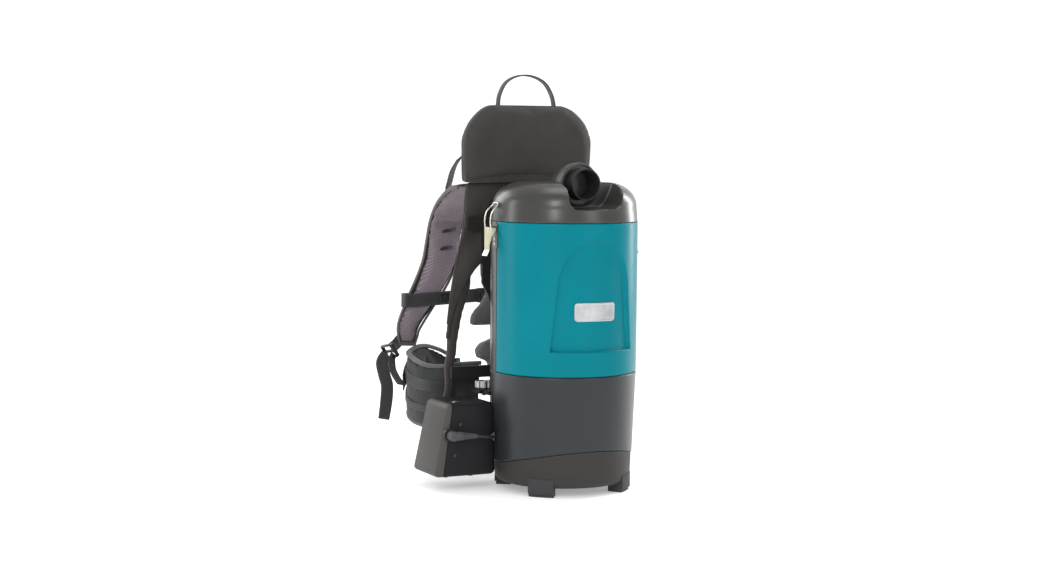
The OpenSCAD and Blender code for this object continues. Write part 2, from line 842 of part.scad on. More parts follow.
canister_body();
front_cover();
badge();
motor_housing();
base_cover();
feet();
lid();
lid_gasket();
lid_catches();
inlet_sleeve();
latch_brackets();
latch_pins();
latch_lever();  // latch_left_lever
latch_bail();  // latch_left_bail
mirror([1, 0, 0]) latch_lever();  // latch_right_lever
mirror([1, 0, 0]) latch_bail();  // latch_right_bail
filter_bag();
bag_collar();
filter_grid();
motor_filter();
motor_plate();
motor_can();
rotor();
motor_shaft();
motor_bearings();
impeller();
motor_mounts();
exhaust_foam();
battery_housing();
battery_cover();
battery_pack();
control_board();
power_switch();
switch_bezel();
battery_socket();
lead_plug();
power_lead();
lead_gland();
housing_screws();
back_plate();
upper_bracket();
lower_bracket();
translate([-knob_x, knob_y, knob_z]) clamp_knob();  // clamp_knob_left
translate([knob_x, knob_y, knob_z]) clamp_knob();  // clamp_knob_right
back_cover();
side_columns();
centre_pad();
lumbar_pad();
head_pad();
haul_loop();
hip_wing();  // hip_wing_left
mirror([1, 0, 0]) hip_wing();  // hip_wing_right
shoulder_strap();  // shoulder_strap_left
mirror([1, 0, 0]) shoulder_strap();  // shoulder_strap_right
load_lifters();
sternum_strap();
sternum_buckle();
lower_webbing();
belt_webbing();
strap_hardware();
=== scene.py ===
import math

import bmesh
import bpy
import numpy as np
from mathutils import Matrix, Vector, noise


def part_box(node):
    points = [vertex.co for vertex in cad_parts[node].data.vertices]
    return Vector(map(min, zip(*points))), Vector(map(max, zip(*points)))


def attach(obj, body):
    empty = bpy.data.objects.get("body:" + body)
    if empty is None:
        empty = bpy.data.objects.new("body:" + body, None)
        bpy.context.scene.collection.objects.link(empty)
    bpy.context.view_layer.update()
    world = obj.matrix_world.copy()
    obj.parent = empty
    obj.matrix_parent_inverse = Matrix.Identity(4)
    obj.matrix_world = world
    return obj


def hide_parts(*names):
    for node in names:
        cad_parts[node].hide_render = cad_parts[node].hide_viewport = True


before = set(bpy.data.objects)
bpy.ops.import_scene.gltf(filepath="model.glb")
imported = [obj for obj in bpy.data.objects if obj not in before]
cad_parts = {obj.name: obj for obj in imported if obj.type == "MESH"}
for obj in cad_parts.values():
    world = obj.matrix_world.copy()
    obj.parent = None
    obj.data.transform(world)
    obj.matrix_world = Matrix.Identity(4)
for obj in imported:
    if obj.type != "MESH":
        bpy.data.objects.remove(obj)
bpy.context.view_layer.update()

MM = 0.001
scene = bpy.context.scene


def box_mm(node):
    """Lowest and highest corner of a CAD node, in millimetres."""
    lo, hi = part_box(node)
    return Vector(lo) / MM, Vector(hi) / MM


# ---------------------------------------------------------------- camera and light
# The camera stands at the canister's front left, a little above its lid.
VIEW_AZIMUTH = math.radians(-27)
VIEW_DISTANCE = 3160
VIEW_HEIGHT = 572
FOCAL = 66.1                       # mm on a 36 mm wide sensor
AIM_LEFT = math.radians(1.17)      # the canister stands right of the picture's middle
AIM_DOWN = math.radians(4.4)
ROLL = math.radians(0.45)


def make_camera():
    data = bpy.data.cameras.new("camera")
    data.sensor_width = 36
    data.lens = FOCAL
    data.clip_start = 0.1
    data.clip_end = 60
    camera = bpy.data.objects.new("camera", data)
    scene.collection.objects.link(camera)
    back = Vector((math.sin(VIEW_AZIMUTH), -math.cos(VIEW_AZIMUTH), 0))
    camera.location = (back * VIEW_DISTANCE + Vector((0, 0, VIEW_HEIGHT))) * MM
    yaw = VIEW_AZIMUTH + AIM_LEFT
    aim = Vector((-math.sin(yaw), math.cos(yaw), -math.tan(AIM_DOWN)))
    turn = aim.to_track_quat("-Z", "Y").to_matrix() @ Matrix.Rotation(ROLL, 3, "Z")
    camera.rotation_euler = turn.to_euler()
    scene.camera = camera


WORLD_STRENGTH = 0.62
LIGHT_TARGET = (0, 0, 0.33)
# Name, place in metres, width and height in metres, power in watts.
LIGHTS = [("key", (-2.0, -2.2, 1.7), (0.35, 1.9), 38),
          ("left rim", (-2.6, 1.4, 0.7), (0.5, 2.0), 17),
          ("fill", (0.9, -3.0, 1.2), (1.0, 1.6), 14),
          ("rim", (2.4, 0.5, 1.1), (0.5, 2.0), 44),
          ("back", (-1.2, 3.0, 1.6), (1.6, 1.6), 26),
          ("top", (0.2, 0.2, 3.0), (1.6, 1.6), 22)]


def area_light(name, place, target, size, power):
    data = bpy.data.lights.new(name, "AREA")
    data.shape = "RECTANGLE"
    data.size, data.size_y = size
    data.energy = power
    light = bpy.data.objects.new(name, data)
    scene.collection.objects.link(light)
    light.location = place
    light.rotation_euler = (Vector(target) - Vector(place)).to_track_quat("-Z", "Y").to_euler()


def make_lights():
    world = bpy.data.worlds.new("studio")
    scene.world = world
    world.use_nodes = True
    background = world.node_tree.nodes["Background"]
    background.inputs["Color"].default_value = (1, 1, 1, 1)
    background.inputs["Strength"].default_value = WORLD_STRENGTH
    for name, place, size, power in LIGHTS:
        area_light(name, place, LIGHT_TARGET, size, power)
    scene.view_settings.view_transform = "Standard"
    scene.view_settings.look = "None"
    scene.view_settings.exposure = 0
    scene.view_settings.gamma = 1


# ---------------------------------------------------------------- material helpers
class Shader:
    """A Principled material with short calls for the nodes that give it detail."""

    def __init__(self, name, color, rough, **sockets):
        self.material = bpy.data.materials.new(name)
        self.material.use_nodes = True
        self.tree = self.material.node_tree
        self.bsdf = self.tree.nodes["Principled BSDF"]
        self.color = color
        self.set("Base Color", (*color, 1))
        self.set("Roughness", rough)
        for key, value in sockets.items():
            self.set(key.replace("_", " "), value)
        self.coords = self.tree.nodes.new("ShaderNodeTexCoord")
        self.height = None

    def set(self, socket, value):
        self.bsdf.inputs[socket].default_value = value

    def node(self, kind, **values):
        made = self.tree.nodes.new(kind)
        for key, value in values.items():
            if key in made.inputs:
                made.inputs[key].default_value = value
            else:
                setattr(made, key, value)
        return made

    def link(self, a, b):
        self.tree.links.new(a, b)

    def mapped(self, source="Object", scale=(1, 1, 1), turn=(0, 0, 0)):
        mapping = self.node("ShaderNodeMapping")
        mapping.inputs["Scale"].default_value = scale
        mapping.inputs["Rotation"].default_value = turn
        self.link(self.coords.outputs[source], mapping.inputs["Vector"])
        return mapping.outputs["Vector"]

    def noise(self, scale, detail=3, stretch=(1, 1, 1)):
        made = self.node("ShaderNodeTexNoise", Scale=scale, Detail=detail)
        self.link(self.mapped(scale=stretch), made.inputs["Vector"])
        return made.outputs["Fac"]

    def wave(self, scale, direction, source="Object", turn=(0, 0, 0)):
        made = self.node("ShaderNodeTexWave", Scale=scale, bands_direction=direction)
        self.link(self.mapped(source, turn=turn), made.inputs["Vector"])
        return made.outputs["Fac"]

    def math(self, operation, a, b):
        made = self.node("ShaderNodeMath", operation=operation)
        for index, value in enumerate((a, b)):
            if isinstance(value, (int, float)):
                made.inputs[index].default_value = value
            else:
                self.link(value, made.inputs[index])
        return made.outputs[0]

    def ramp(self, factor, low, high, at=(0.0, 1.0)):
        made = self.node("ShaderNodeValToRGB")
        made.color_ramp.elements[0].position = at[0]
        made.color_ramp.elements[1].position = at[1]
        made.color_ramp.elements[0].color = (*low, 1)
        made.color_ramp.elements[1].color = (*high, 1)
        self.link(factor, made.inputs["Fac"])
        return made.outputs["Color"]

    def mix(self, factor, a, b):
        made = self.node("ShaderNodeMix", data_type="RGBA")
        self.link(factor, made.inputs[0])
        for index, value in ((6, a), (7, b)):
            if isinstance(value, tuple):
                made.inputs[index].default_value = (*value, 1)
            else:
                self.link(value, made.inputs[index])
        return made.outputs[2]

    def shade(self, color, factor):
        """Base colour as color multiplied by factor."""
        tint = self.node("ShaderNodeMix", data_type="RGBA", blend_type="MULTIPLY")
        tint.inputs[0].default_value = 1.0
        self.link(color, tint.inputs[6])
        self.link(factor, tint.inputs[7])
        self.link(tint.outputs[2], self.bsdf.inputs["Base Color"])

    def tone(self, amount):
        return tuple(max(0.0, c * amount) for c in self.color)

    def vary_color(self, factor, low, high, at=(0.3, 0.7)):
        color = self.ramp(factor, self.tone(low), self.tone(high), at)
        self.link(color, self.bsdf.inputs["Base Color"])
        return color

    def vary_rough(self, factor, low, high):
        made = self.node("ShaderNodeMapRange")
        made.inputs["To Min"].default_value = low
        made.inputs["To Max"].default_value = high
        self.link(factor, made.inputs["Value"])
        self.link(made.outputs[0], self.bsdf.inputs["Roughness"])

    def bump(self, height, distance, strength=1.0):
        made = self.node("ShaderNodeBump", Strength=strength, Distance=distance)
        self.link(height, made.inputs["Height"])
        if self.height is not None:
            self.link(self.height, made.inputs["Normal"])
        self.height = made.outputs["Normal"]
        self.link(self.height, self.bsdf.inputs["Normal"])

    def worn_edges(self, color, tone, amount=0.5):
        """Lightens convex edges, as handling does."""
        point = self.node("ShaderNodeNewGeometry").outputs["Pointiness"]
        edge = self.ramp(point, (0, 0, 0), (amount, amount, amount), (0.505, 0.56))
        self.link(self.mix(edge, color, self.tone(tone)), self.bsdf.inputs["Base Color"])


def plastic(name, color, rough, grain=0.00004, grain_scale=1400, wear=1.6, coat=0.0,
            shine=0.25):
    s = Shader(name, color, rough, Coat_Weight=coat, Coat_Roughness=0.12,
               Specular_IOR_Level=shine)
    cloud = s.noise(7, 4)
    base = s.vary_color(cloud, 0.92, 1.08)
    s.worn_edges(base, wear)
    smear = s.noise(22, 5, stretch=(1, 1, 0.35))
    s.vary_rough(smear, rough * 0.85, rough * 1.25)
    s.bump(s.noise(grain_scale, 2), grain, 0.6)
    s.bump(s.noise(9, 2), 0.0006, 0.25)
    return s.material


def cloth(name, color, pitch=900, sheen=0.12, crinkle=0.0012):
    """Plain woven pack cloth, with its threads along X and Z."""
    rough, depth = 0.82, 0.00025
    s = Shader(name, color, rough, Sheen_Weight=sheen, Sheen_Roughness=0.45)
    warp, weft = (s.wave(pitch / 6.283, axis) for axis in "XZ")
    weave = s.math("MULTIPLY", warp, weft)
    threads = s.vary_color(weave, 0.78, 1.2, (0.0, 0.9))
    cloud = s.ramp(s.noise(16, 4), (0.82, 0.82, 0.82), (1.15, 1.12, 1.1), (0.3, 0.7))
    s.shade(threads, cloud)
    s.bump(weave, depth, 0.8)
    s.bump(s.noise(38, 4), crinkle, 0.5)
    s.vary_rough(s.noise(30, 3), rough - 0.1, min(1.0, rough + 0.1))
    return s.material


def spacer_mesh(name, color, tilt):
    """Knitted spacer mesh: staggered open cells. tilt, about X, turns the pattern's plane."""
    s = Shader(name, color, 0.78, Sheen_Weight=0.25, Sheen_Roughness=0.4)
    cell = 0.0032
    k = 1 / cell / 3.0
    left = s.wave(k, "X", turn=(math.radians(tilt), 0, math.radians(52)))
    right = s.wave(k, "X", turn=(math.radians(tilt), 0, math.radians(-52)))
    cells = s.math("MULTIPLY", left, right)
    threads = s.ramp(cells, s.tone(1.25), s.tone(0.42), (0.25, 0.75))
    cloud = s.ramp(s.noise(14, 3), (0.88, 0.86, 0.88), (1.12, 1.1, 1.12), (0.3, 0.7))
    s.shade(threads, cloud)
    s.bump(s.math("MULTIPLY", cells, -1.0), 0.0009, 0.9)
    s.vary_rough(s.noise(50, 2), 0.7, 0.9)
    return s.material


def webbing(name, color, pitch=0.0016):
    """Flat woven nylon: ribs across the tape and a tight selvedge."""
    s = Shader(name, color, 0.6, Sheen_Weight=0.2, Sheen_Roughness=0.4)
    k = 1 / pitch
    ribs = s.wave(k, "Y", "UV")
    cords = s.wave(k * 0.55, "X", "UV")
    weave = s.math("MULTIPLY", ribs, s.math("ADD", cords, 0.6))
    base = s.vary_color(weave, 0.55, 1.9, (0.1, 1.1))
    s.worn_edges(base, 2.4, 0.5)
    s.bump(weave, 0.0005, 0.8)
    s.vary_rough(s.noise(60, 3), 0.5, 0.72)
    return s.material


def metal(name, color, rough, brush=(1, 1, 30)):
    s = Shader(name, color, rough, Metallic=1.0)
    base = s.vary_color(s.noise(45, 4), 0.8, 1.1)
    s.worn_edges(base, 1.25)
    s.vary_rough(s.noise(180, 3, stretch=brush), rough * 0.8, rough * 1.4)
    s.bump(s.noise(400, 2, stretch=brush), 0.00005, 0.5)
    return s.material


def rubber(name, color, rough=0.75):
    s = Shader(name, color, rough, Specular_IOR_Level=0.35)
    base = s.vary_color(s.noise(60, 4), 0.8, 1.25)
    s.worn_edges(base, 2.2)
    s.vary_rough(s.noise(35, 3), rough - 0.12, rough + 0.12)
    s.bump(s.noise(900, 2), 0.00006, 0.7)
    return s.material


def foam(name, color):
    s = Shader(name, color, 0.95, Specular_IOR_Level=0.2)
    pores = s.node("ShaderNodeTexVoronoi", Scale=320)
    s.link(s.mapped(), pores.inputs["Vector"])
    s.vary_color(pores.outputs["Distance"], 0.55, 1.1, (0.0, 0.6))
    s.bump(pores.outputs["Distance"], 0.0012, 0.7)
    return s.material


def board_material(name, color):
    s = Shader(name, color, 0.35)
    tracks = s.node("ShaderNodeTexBrick", Scale=70)
    s.link(s.mapped(), tracks.inputs["Vector"])
    s.vary_color(tracks.outputs["Fac"], 1.0, 2.0)
    s.bump(tracks.outputs["Fac"], 0.0001)
    return s.material


# ---------------------------------------------------------------- mesh helpers
BOX_FACES = [(0, 1, 3, 2), (4, 6, 7, 5), (0, 4, 5, 1), (2, 3, 7, 6), (0, 2, 6, 4), (1, 5, 7, 3)]


def vertex_array(mesh, what="co"):
    """One row of three numbers for each vertex."""
    flat = np.empty(len(mesh.vertices) * 3)
    mesh.vertices.foreach_get(what, flat)
    return flat.reshape(-1, 3)


def set_vertices(mesh, points):
    mesh.vertices.foreach_set("co", points.ravel())
    mesh.update()


def shade_smooth(piece, sharp_above=None):
    """Smooth faces, with sharp edges where they meet at more than so many degrees."""
    piece.data.polygons.foreach_set("use_smooth", [True] * len(piece.data.polygons))
    if sharp_above is not None:
        piece.data.set_sharp_from_angle(angle=math.radians(sharp_above))
    return piece


def move_mesh(piece, x, y, z, turn):
    """Turns the piece's mesh, then moves it by millimetres."""
    piece.data.transform(Matrix.Translation(Vector((x, y, z)) * MM) @ turn)


def turned(degrees, axis):
    return Matrix.Rotation(math.radians(degrees), 4, axis)


def add_object(name, mesh, material, smooth=True):
    piece = bpy.data.objects.new(name, mesh)
    scene.collection.objects.link(piece)
    mesh.materials.clear()
    mesh.materials.append(material)
    if smooth:
        mesh.polygons.foreach_set("use_smooth", [True] * len(mesh.polygons))
    return piece


def mesh_from(name, points, faces, material, smooth=True, uvs=None):
    """Mesh piece from points in millimetres. uvs has one pair for each point."""
    mesh = bpy.data.meshes.new(name)
    mesh.from_pydata([tuple(c * MM for c in p) for p in points], [], faces)
    mesh.update()
    if uvs is not None:
        layer = mesh.uv_layers.new(name="UVMap")
        for loop in mesh.loops:
            layer.data[loop.index].uv = uvs[loop.vertex_index]
    mend = bmesh.new()
    mend.from_mesh(mesh)
    bmesh.ops.recalc_face_normals(mend, faces=mend.faces)
    mend.to_mesh(mesh)
    mend.free()
    return add_object(name, mesh, material, smooth)


def grid_faces(rows, columns, wrap):
    faces = []
    for r in range(rows - 1):
        for c in range(columns if wrap else columns - 1):
            d = (c + 1) % columns
            low, high = r * columns, (r + 1) * columns
            faces.append((low + c, low + d, high + d, high + c))
    return faces


def bake_modifiers(piece):
    """Replaces the piece's mesh with what its modifiers make."""
    graph = bpy.context.evaluated_depsgraph_get()
    graph.update()
    made = bpy.data.meshes.new_from_object(piece.evaluated_get(graph))
    piece.modifiers.clear()
    piece.data = made
    return piece


def bevel(piece, width, segments=3, angle=30):
    m = piece.modifiers.new("bevel", "BEVEL")
    m.width = width * MM
    m.segments = segments
    m.limit_method = "ANGLE"
    m.angle_limit = math.radians(angle)
    m.harden_normals = True
    return bake_modifiers(piece)


def subdivide(piece):
    m = piece.modifiers.new("subdivide", "SUBSURF")
    m.levels = m.render_levels = 1
    return bake_modifiers(piece)


def remesh(piece, voxel, smoothing=0):
    m = piece.modifiers.new("remesh", "REMESH")
    m.mode = "VOXEL"
    m.voxel_size = voxel * MM
    m.use_smooth_shade = True
    bake_modifiers(piece)
    if smoothing:
        m = piece.modifiers.new("smooth", "SMOOTH")
        m.factor = 0.5
        m.iterations = smoothing
        bake_modifiers(piece)
    return shade_smooth(piece)


def boolean(piece, other, operation):
    m = piece.modifiers.new("cut", "BOOLEAN")
    m.operation = operation
    m.solver = "EXACT"
    m.object = other
    bake_modifiers(piece)
    bpy.data.objects.remove(other)
    return piece


def displace(piece, shift):
    """Moves each point by shift(point, index), in millimetres."""
    points = vertex_array(piece.data)
    moved = np.array([shift(Vector(p) / MM, i) for i, p in enumerate(points)])
    set_vertices(piece.data, points + moved * MM)
    return piece


def revolve(name, profile, material, steps=128):
    """Turns a closed outline of (radius, height) about the Z axis."""
    angles = [math.radians(360.0 * i / steps) for i in range(steps)]
    points = [(r * math.cos(a), r * math.sin(a), z) for a in angles for r, z in profile]
    n = len(profile)
    faces = []
    for i in range(steps):
        j = (i + 1) % steps
        for k in range(n):
            m = (k + 1) % n
            faces.append((i * n + k, i * n + m, j * n + m, j * n + k))
    return mesh_from(name, points, faces, material)


def extrude_y(name, outline, y0, y1, material):
    """Closed solid from an outline in X and Z between two values of Y."""
    n = len(outline)
    points = [(x, y, z) for y in (y0, y1) for x, z in outline]
    faces = [tuple(range(n)), tuple(range(2 * n - 1, n - 1, -1))]
    faces += [(k, k + n, (k + 1) % n + n, (k + 1) % n) for k in range(n)]
    return mesh_from(name, points, faces, material, smooth=False)


def block(name, lo, hi, material, radius=0.0, segments=3):
    xs, ys, zs = zip(lo, hi)
    points = [(x, y, z) for x in xs for y in ys for z in zs]
    piece = mesh_from(name, points, BOX_FACES, material)
    return bevel(piece, radius, segments) if radius else piece


def rod(name, place, axis, radius, length, material, sides=48, round_edge=0.0):
    """Round bar centred on place along axis, with eased ends."""
    half = length / 2
    e = round_edge
    profile = [(0.01, -half), (radius - e, -half)]
    if e:
        profile += [(radius, -half + e), (radius, half - e)]
    else:
        profile += [(radius, half)]
    profile += [(radius - e, half), (0.01, half)]
    piece = revolve(name, profile, material, steps=sides)
    turn = Vector((0, 0, 1)).rotation_difference(Vector(axis)).to_matrix().to_4x4()
    piece.data.transform(Matrix.Translation(Vector(place) * MM) @ turn)
    return piece


def join(name, parts):
    """One piece from several meshes."""
    meshes = bmesh.new()
    for part in parts:
        meshes.from_mesh(part.data)
    mesh = bpy.data.meshes.new(name)
    meshes.to_mesh(mesh)
    meshes.free()
    material = parts[0].data.materials[0]
    smooth = parts[0].data.polygons[0].use_smooth
    for part in parts:
        bpy.data.objects.remove(part)
    return add_object(name, mesh, material, smooth)


# ---------------------------------------------------------------- sweeps
def spline(p0, p1, p2, p3, t):
    return 0.5 * (2 * p1 + (p2 - p0) * t + (2 * p0 - 5 * p1 + 4 * p2 - p3) * t * t
                  + (3 * p1 - p0 - 3 * p2 + p3) * t ** 3)


def smooth_stations(stations, steps):
    p = [np.array(s, float) for s in stations]
    last = len(p) - 1
    out = []
    for i in range(last):
        for j in range(steps):
            out.append(spline(p[max(i - 1, 0)], p[i], p[i + 1], p[min(i + 2, last)], j / steps))
    return out + [p[last]]


def stations_frames(stations, side, steps):
    """(middle, across, outward, width, thickness, length so far) along a swept piece."""
    s = smooth_stations(stations, steps)
    side = Vector(side)
    frames = []
    run = 0.0
    for i, p in enumerate(s):
        ahead = Vector(s[min(i + 1, len(s) - 1)][:3])
        behind = Vector(s[max(i - 1, 0)][:3])
        along = (ahead - behind).normalized()
        outward = along.cross(side).normalized()
        across = outward.cross(along)
        if i:
            run += (Vector(p[:3]) - Vector(s[i - 1][:3])).length
        frames.append((Vector(p[:3]), across, outward, p[3], p[4], run))
    return frames


def sweep(name, frames, section, material):
    """Closed body that follows frames. section(w, t) gives its outline as (across, outward)."""
    points, uvs = [], []
    for middle, across, outward, w, t, run in frames:
        ring = section(w, t)
        for a, b in ring:
            points.append(middle + across * a + outward * b)
            uvs.append((a * MM, run * MM))
    n = len(section(1.0, 1.0))
    faces = grid_faces(len(frames), n, True)
    faces.append(tuple(reversed(range(n))))
    faces.append(tuple((len(frames) - 1) * n + k for k in range(n)))
    return mesh_from(name, points, faces, material, uvs=uvs)


def tape(name, stations, side, steps=8, material=None):
    """Webbing that follows stations, with its flat side facing away from side."""
    return sweep(name, stations_frames(stations, side, steps), tape_section, material or web_look)


def tape_section(w, t):
    """Flat tape with rounded selvedges."""
    h = t / 2
    x = w / 2 - h
    right = [(x + h * math.cos(a), h * math.sin(a)) for a in (-1.2, -0.5, 0.5, 1.2)]
    left = [(-p[0], p[1]) for p in reversed(right)]
    flat = [(x * k, 0.92 * h) for k in (0.6, 0.2, -0.2, -0.6)]
    return right + flat + left + [(p[0] * -1, -p[1]) for p in flat]


def round_section(w, t, sides=16):
    return [(w / 2 * math.cos(2 * math.pi * k / sides), t / 2 * math.sin(2 * math.pi * k / sides))
            for k in range(sides)]


def crown_section(low, high, crown):
    """Padded half: flat at `low` and crowned to `high` of the thickness."""
    sides = 14

    def section(w, t):
        top = []
        for k in range(sides + 1):
            u = math.cos(math.pi * k / sides)
            top.append((w / 2 * u, t * (low + (high - low) * (1 - abs(u) ** crown) ** (1 / crown))))
        under = [(w / 2 * u, t * low * 0.98) for u in (-0.6, -0.2, 0.2, 0.6)]
        return top + under
    return section


def shifted(frames, across_by, outward_by, w, t):
    """Frames moved across by a share of the width and outward by a share of the thickness."""
    out = []
    for middle, across, outward, width, thick, run in frames:
        place = middle + across * (width * across_by) + outward * (thick * outward_by)
        out.append((place, across, outward, w, t, run))
    return out


def mirrored(piece, name):
    """Copy of a piece on the other side of X = 0."""
    mesh = piece.data.copy()
    mesh.transform(Matrix.Scale(-1, 4, (1, 0, 0)))
    mesh.flip_normals()
    copy = bpy.data.objects.new(name, mesh)
    scene.collection.objects.link(copy)
    return copy


def finish_piece(piece, body, slot, *nodes):
    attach(piece, body)
    if nodes:
        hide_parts(*nodes)
    return piece


# ---------------------------------------------------------------- sizes from the frame
body_lo, body_hi = box_mm("canister_body")
CAN_R = body_hi.x
SPLIT_Z = body_lo.z
RIM_Z = body_hi.z
BASE_R = box_mm("base_cover")[1].x - 1.5
BASE_Z = box_mm("base_cover")[0].z
sleeve_lo, sleeve_hi = box_mm("inlet_sleeve")
INLET_Z = (sleeve_lo.z + sleeve_hi.z) / 2
SLEEVE_R = 25.5
BOSS_R = 35.0
BOSS_Y = 54.0
PANEL_R = 113.4
badge_lo, badge_hi = box_mm("badge")
GAP = 0.4


# ---------------------------------------------------------------- canister shells
def shell_grid(name, outer, inner, rows, columns, material, wrap=False):
    """Closed wall between two surfaces, each given as surface(u, v) with u and v from 0 to 1."""
    def lay(surface):
        last = columns if wrap else columns - 1
        return [surface(c / last, r / (rows - 1)) for r in range(rows) for c in range(columns)]
    n = rows * columns
    points = lay(outer) + lay(inner)
    faces = grid_faces(rows, columns, wrap)
    faces += [tuple(n + k for k in reversed(f)) for f in faces]
    edge = list(range(columns)) if wrap else (
        list(range(columns)) + [r * columns + columns - 1 for r in range(1, rows)]
        + [(rows - 1) * columns + c for c in range(columns - 2, -1, -1)]
        + [r * columns for r in range(rows - 2, 0, -1)])
    rims = [edge, [(rows - 1) * columns + c for c in range(columns)]] if wrap else [edge]
    for rim in rims:
        for k, a in enumerate(rim):
            b = rim[(k + 1) % len(rim)]
            faces.append((a, b, n + b, n + a))
    return mesh_from(name, points, faces, material)


def smoothstep(x):
    x = min(1.0, max(0.0, x))
    return x * x * (3 - 2 * x)


def arch_outline():
    """Outline of the sunk panel in X and Z: a round arch on splayed legs."""
    top = [(64 * math.cos(math.radians(a)), 330 + 85 * math.sin(math.radians(a)))
           for a in range(0, 181, 4)]
    foot = [(-72, 246), (-70, 239), (-64, 235), (64, 235), (70, 239), (72, 246)]
    corners = top + foot
    line = []
    for a, b in zip(corners, corners[1:] + corners[:1]):
        steps = max(1, round(math.dist(a, b) / 2))
        line += [(a[0] + (b[0] - a[0]) * k / steps, a[1] + (b[1] - a[1]) * k / steps)
                 for k in range(steps)]
    return np.array(line)


ARCH = arch_outline()


def arch_depth(x, z):
    """How far the front cover is sunk at X and Z."""
    gap = ARCH - np.array((x, z))
    near = math.sqrt((gap ** 2).sum(axis=1).min())
    if z >= 330:
        inside = (x / 64) ** 2 + ((z - 330) / 85) ** 2 < 1
    else:
        inside = z > 235 and abs(x) < 64 + 8 * (330 - z) / 84
    reach = near if inside else -near
    deep = CAN_R - PANEL_R - 0.2 - 2.2 * smoothstep((z - 320) / 90)
    soft = 2.2 if z < 262 else 3.0
    return deep * smoothstep((reach + soft * 0.4) / (soft * 1.6))


def make_front_cover(material):
    z0, z1 = SPLIT_Z + GAP, RIM_Z
    a0, a1 = math.radians(-182), math.radians(2)
    ease = 1.2

    def surface(inset, sunk):
        def place(u, v):
            a = a0 + (a1 - a0) * u
            z = z0 + (z1 - z0) * v
            r = CAN_R - inset
            if sunk and math.sin(a) < -0.4:
                r -= arch_depth(CAN_R * math.cos(a), z)
            edge = min(z - z0, z1 - z, (a - a0) * CAN_R, (a1 - a) * CAN_R)
            if inset < 1:
                r -= ease * (1 - min(1.0, edge / ease)) ** 2
            return (r * math.cos(a), r * math.sin(a), z)
        return place
    return shell_grid("teal_cover", surface(0, True), surface(3.0, True), 205, 385, material)


def styling_line(y):
    """Height of the joint between motor housing and base cover."""
    t = min(1.0, max(0.0, (60 - y) / 190))
    return 43 + 36 * t ** 1.6


def housing_r(z):
    return BASE_R + (CAN_R - BASE_R) * min(z, SPLIT_Z) / SPLIT_Z


def make_motor_housing(material):
    def surface(inset):
        def place(u, v):
            a = 2 * math.pi * u
            low = styling_line(housing_r(60) * math.sin(a)) + GAP
            z = low + (SPLIT_Z - GAP - low) * (1 - (1 - v) ** 1.0)
            r = housing_r(z) - inset
            if inset < 1:
                edge = min(z - low, SPLIT_Z - GAP - z)
                r -= 1.0 * (1 - min(1.0, edge / 1.3)) ** 2
            return (r * math.cos(a), r * math.sin(a), z)
        return place
    return shell_grid("lower_shell", surface(0), surface(3), 110, 256, material, wrap=True)


def make_base_cover(material):
    round_r = 11.0

    def surface(inset):
        def place(u, v):
            a = 2 * math.pi * u
            high = styling_line(housing_r(60) * math.sin(a)) - GAP
            if v < 0.3:
                r = 40 + (BASE_R - round_r - 40) * v / 0.3
                z = BASE_Z
            elif v < 0.55:
                bend = math.pi / 2 * (v - 0.3) / 0.25
                r = BASE_R - round_r + round_r * math.sin(bend)
                z = BASE_Z + round_r * (1 - math.cos(bend))
            else:
                low = BASE_Z + round_r
                z = low + (high - low) * (v - 0.55) / 0.45
                r = BASE_R + (housing_r(z) - housing_r(low)) - 0.2
                r -= 0.8 * (1 - min(1.0, (high - z) / 1.2)) ** 2
            return ((r - inset) * math.cos(a), (r - inset) * math.sin(a), z + inset * (v < 0.4))
        return place
    return shell_grid("base_shell", surface(0), surface(2.6), 81, 256, material, wrap=True)


def dome_outline(t):
    """Radius and height of the dome above the rim, made smaller by t."""
    arc = [(70 - t / 2 + (48 - t / 2) * math.cos(math.radians(a)),
            25 + (38.4 - t) * math.sin(math.radians(a))) for a in range(4, 89, 4)]
    line = [(CAN_R - 0.8 - t, 0), (CAN_R - t, 1.0), (CAN_R - 0.5 - t, 8), (CAN_R - 1.4 - t, 16),
            (CAN_R - 2.2 - t, 22)]
    return line + arc + [(50, 64.2 - t), (25, 64.8 - t), (0, 65 - t)]


def along_inlet(name, y0, y1, radius, material):
    """Cylinder on the hose inlet's axis."""
    return rod(name, (0, (y0 + y1) / 2, INLET_Z), (0, 1, 0), radius, y1 - y0, material, 96)


def scoop_body(material, grow=0.0):
    """Space scooped out of the dome's front below the inlet."""
    g = grow
    corners = [(-40 - g, 60), (-41 - g, 0), (-45 - g, -26), (-43 - g, -33 - g), (-38 - g, -38 - g),
               (-30, -40 - g), (38, -38 - g), (47 + g, -33 - g / 2), (54 + g, -20), (63 + g, 0),
               (72 + g, 60)]
    outline = [(x, INLET_Z + z) for x, z in corners]
    return extrude_y("scoop", outline, -170, -BOSS_Y + 5 + grow, material)


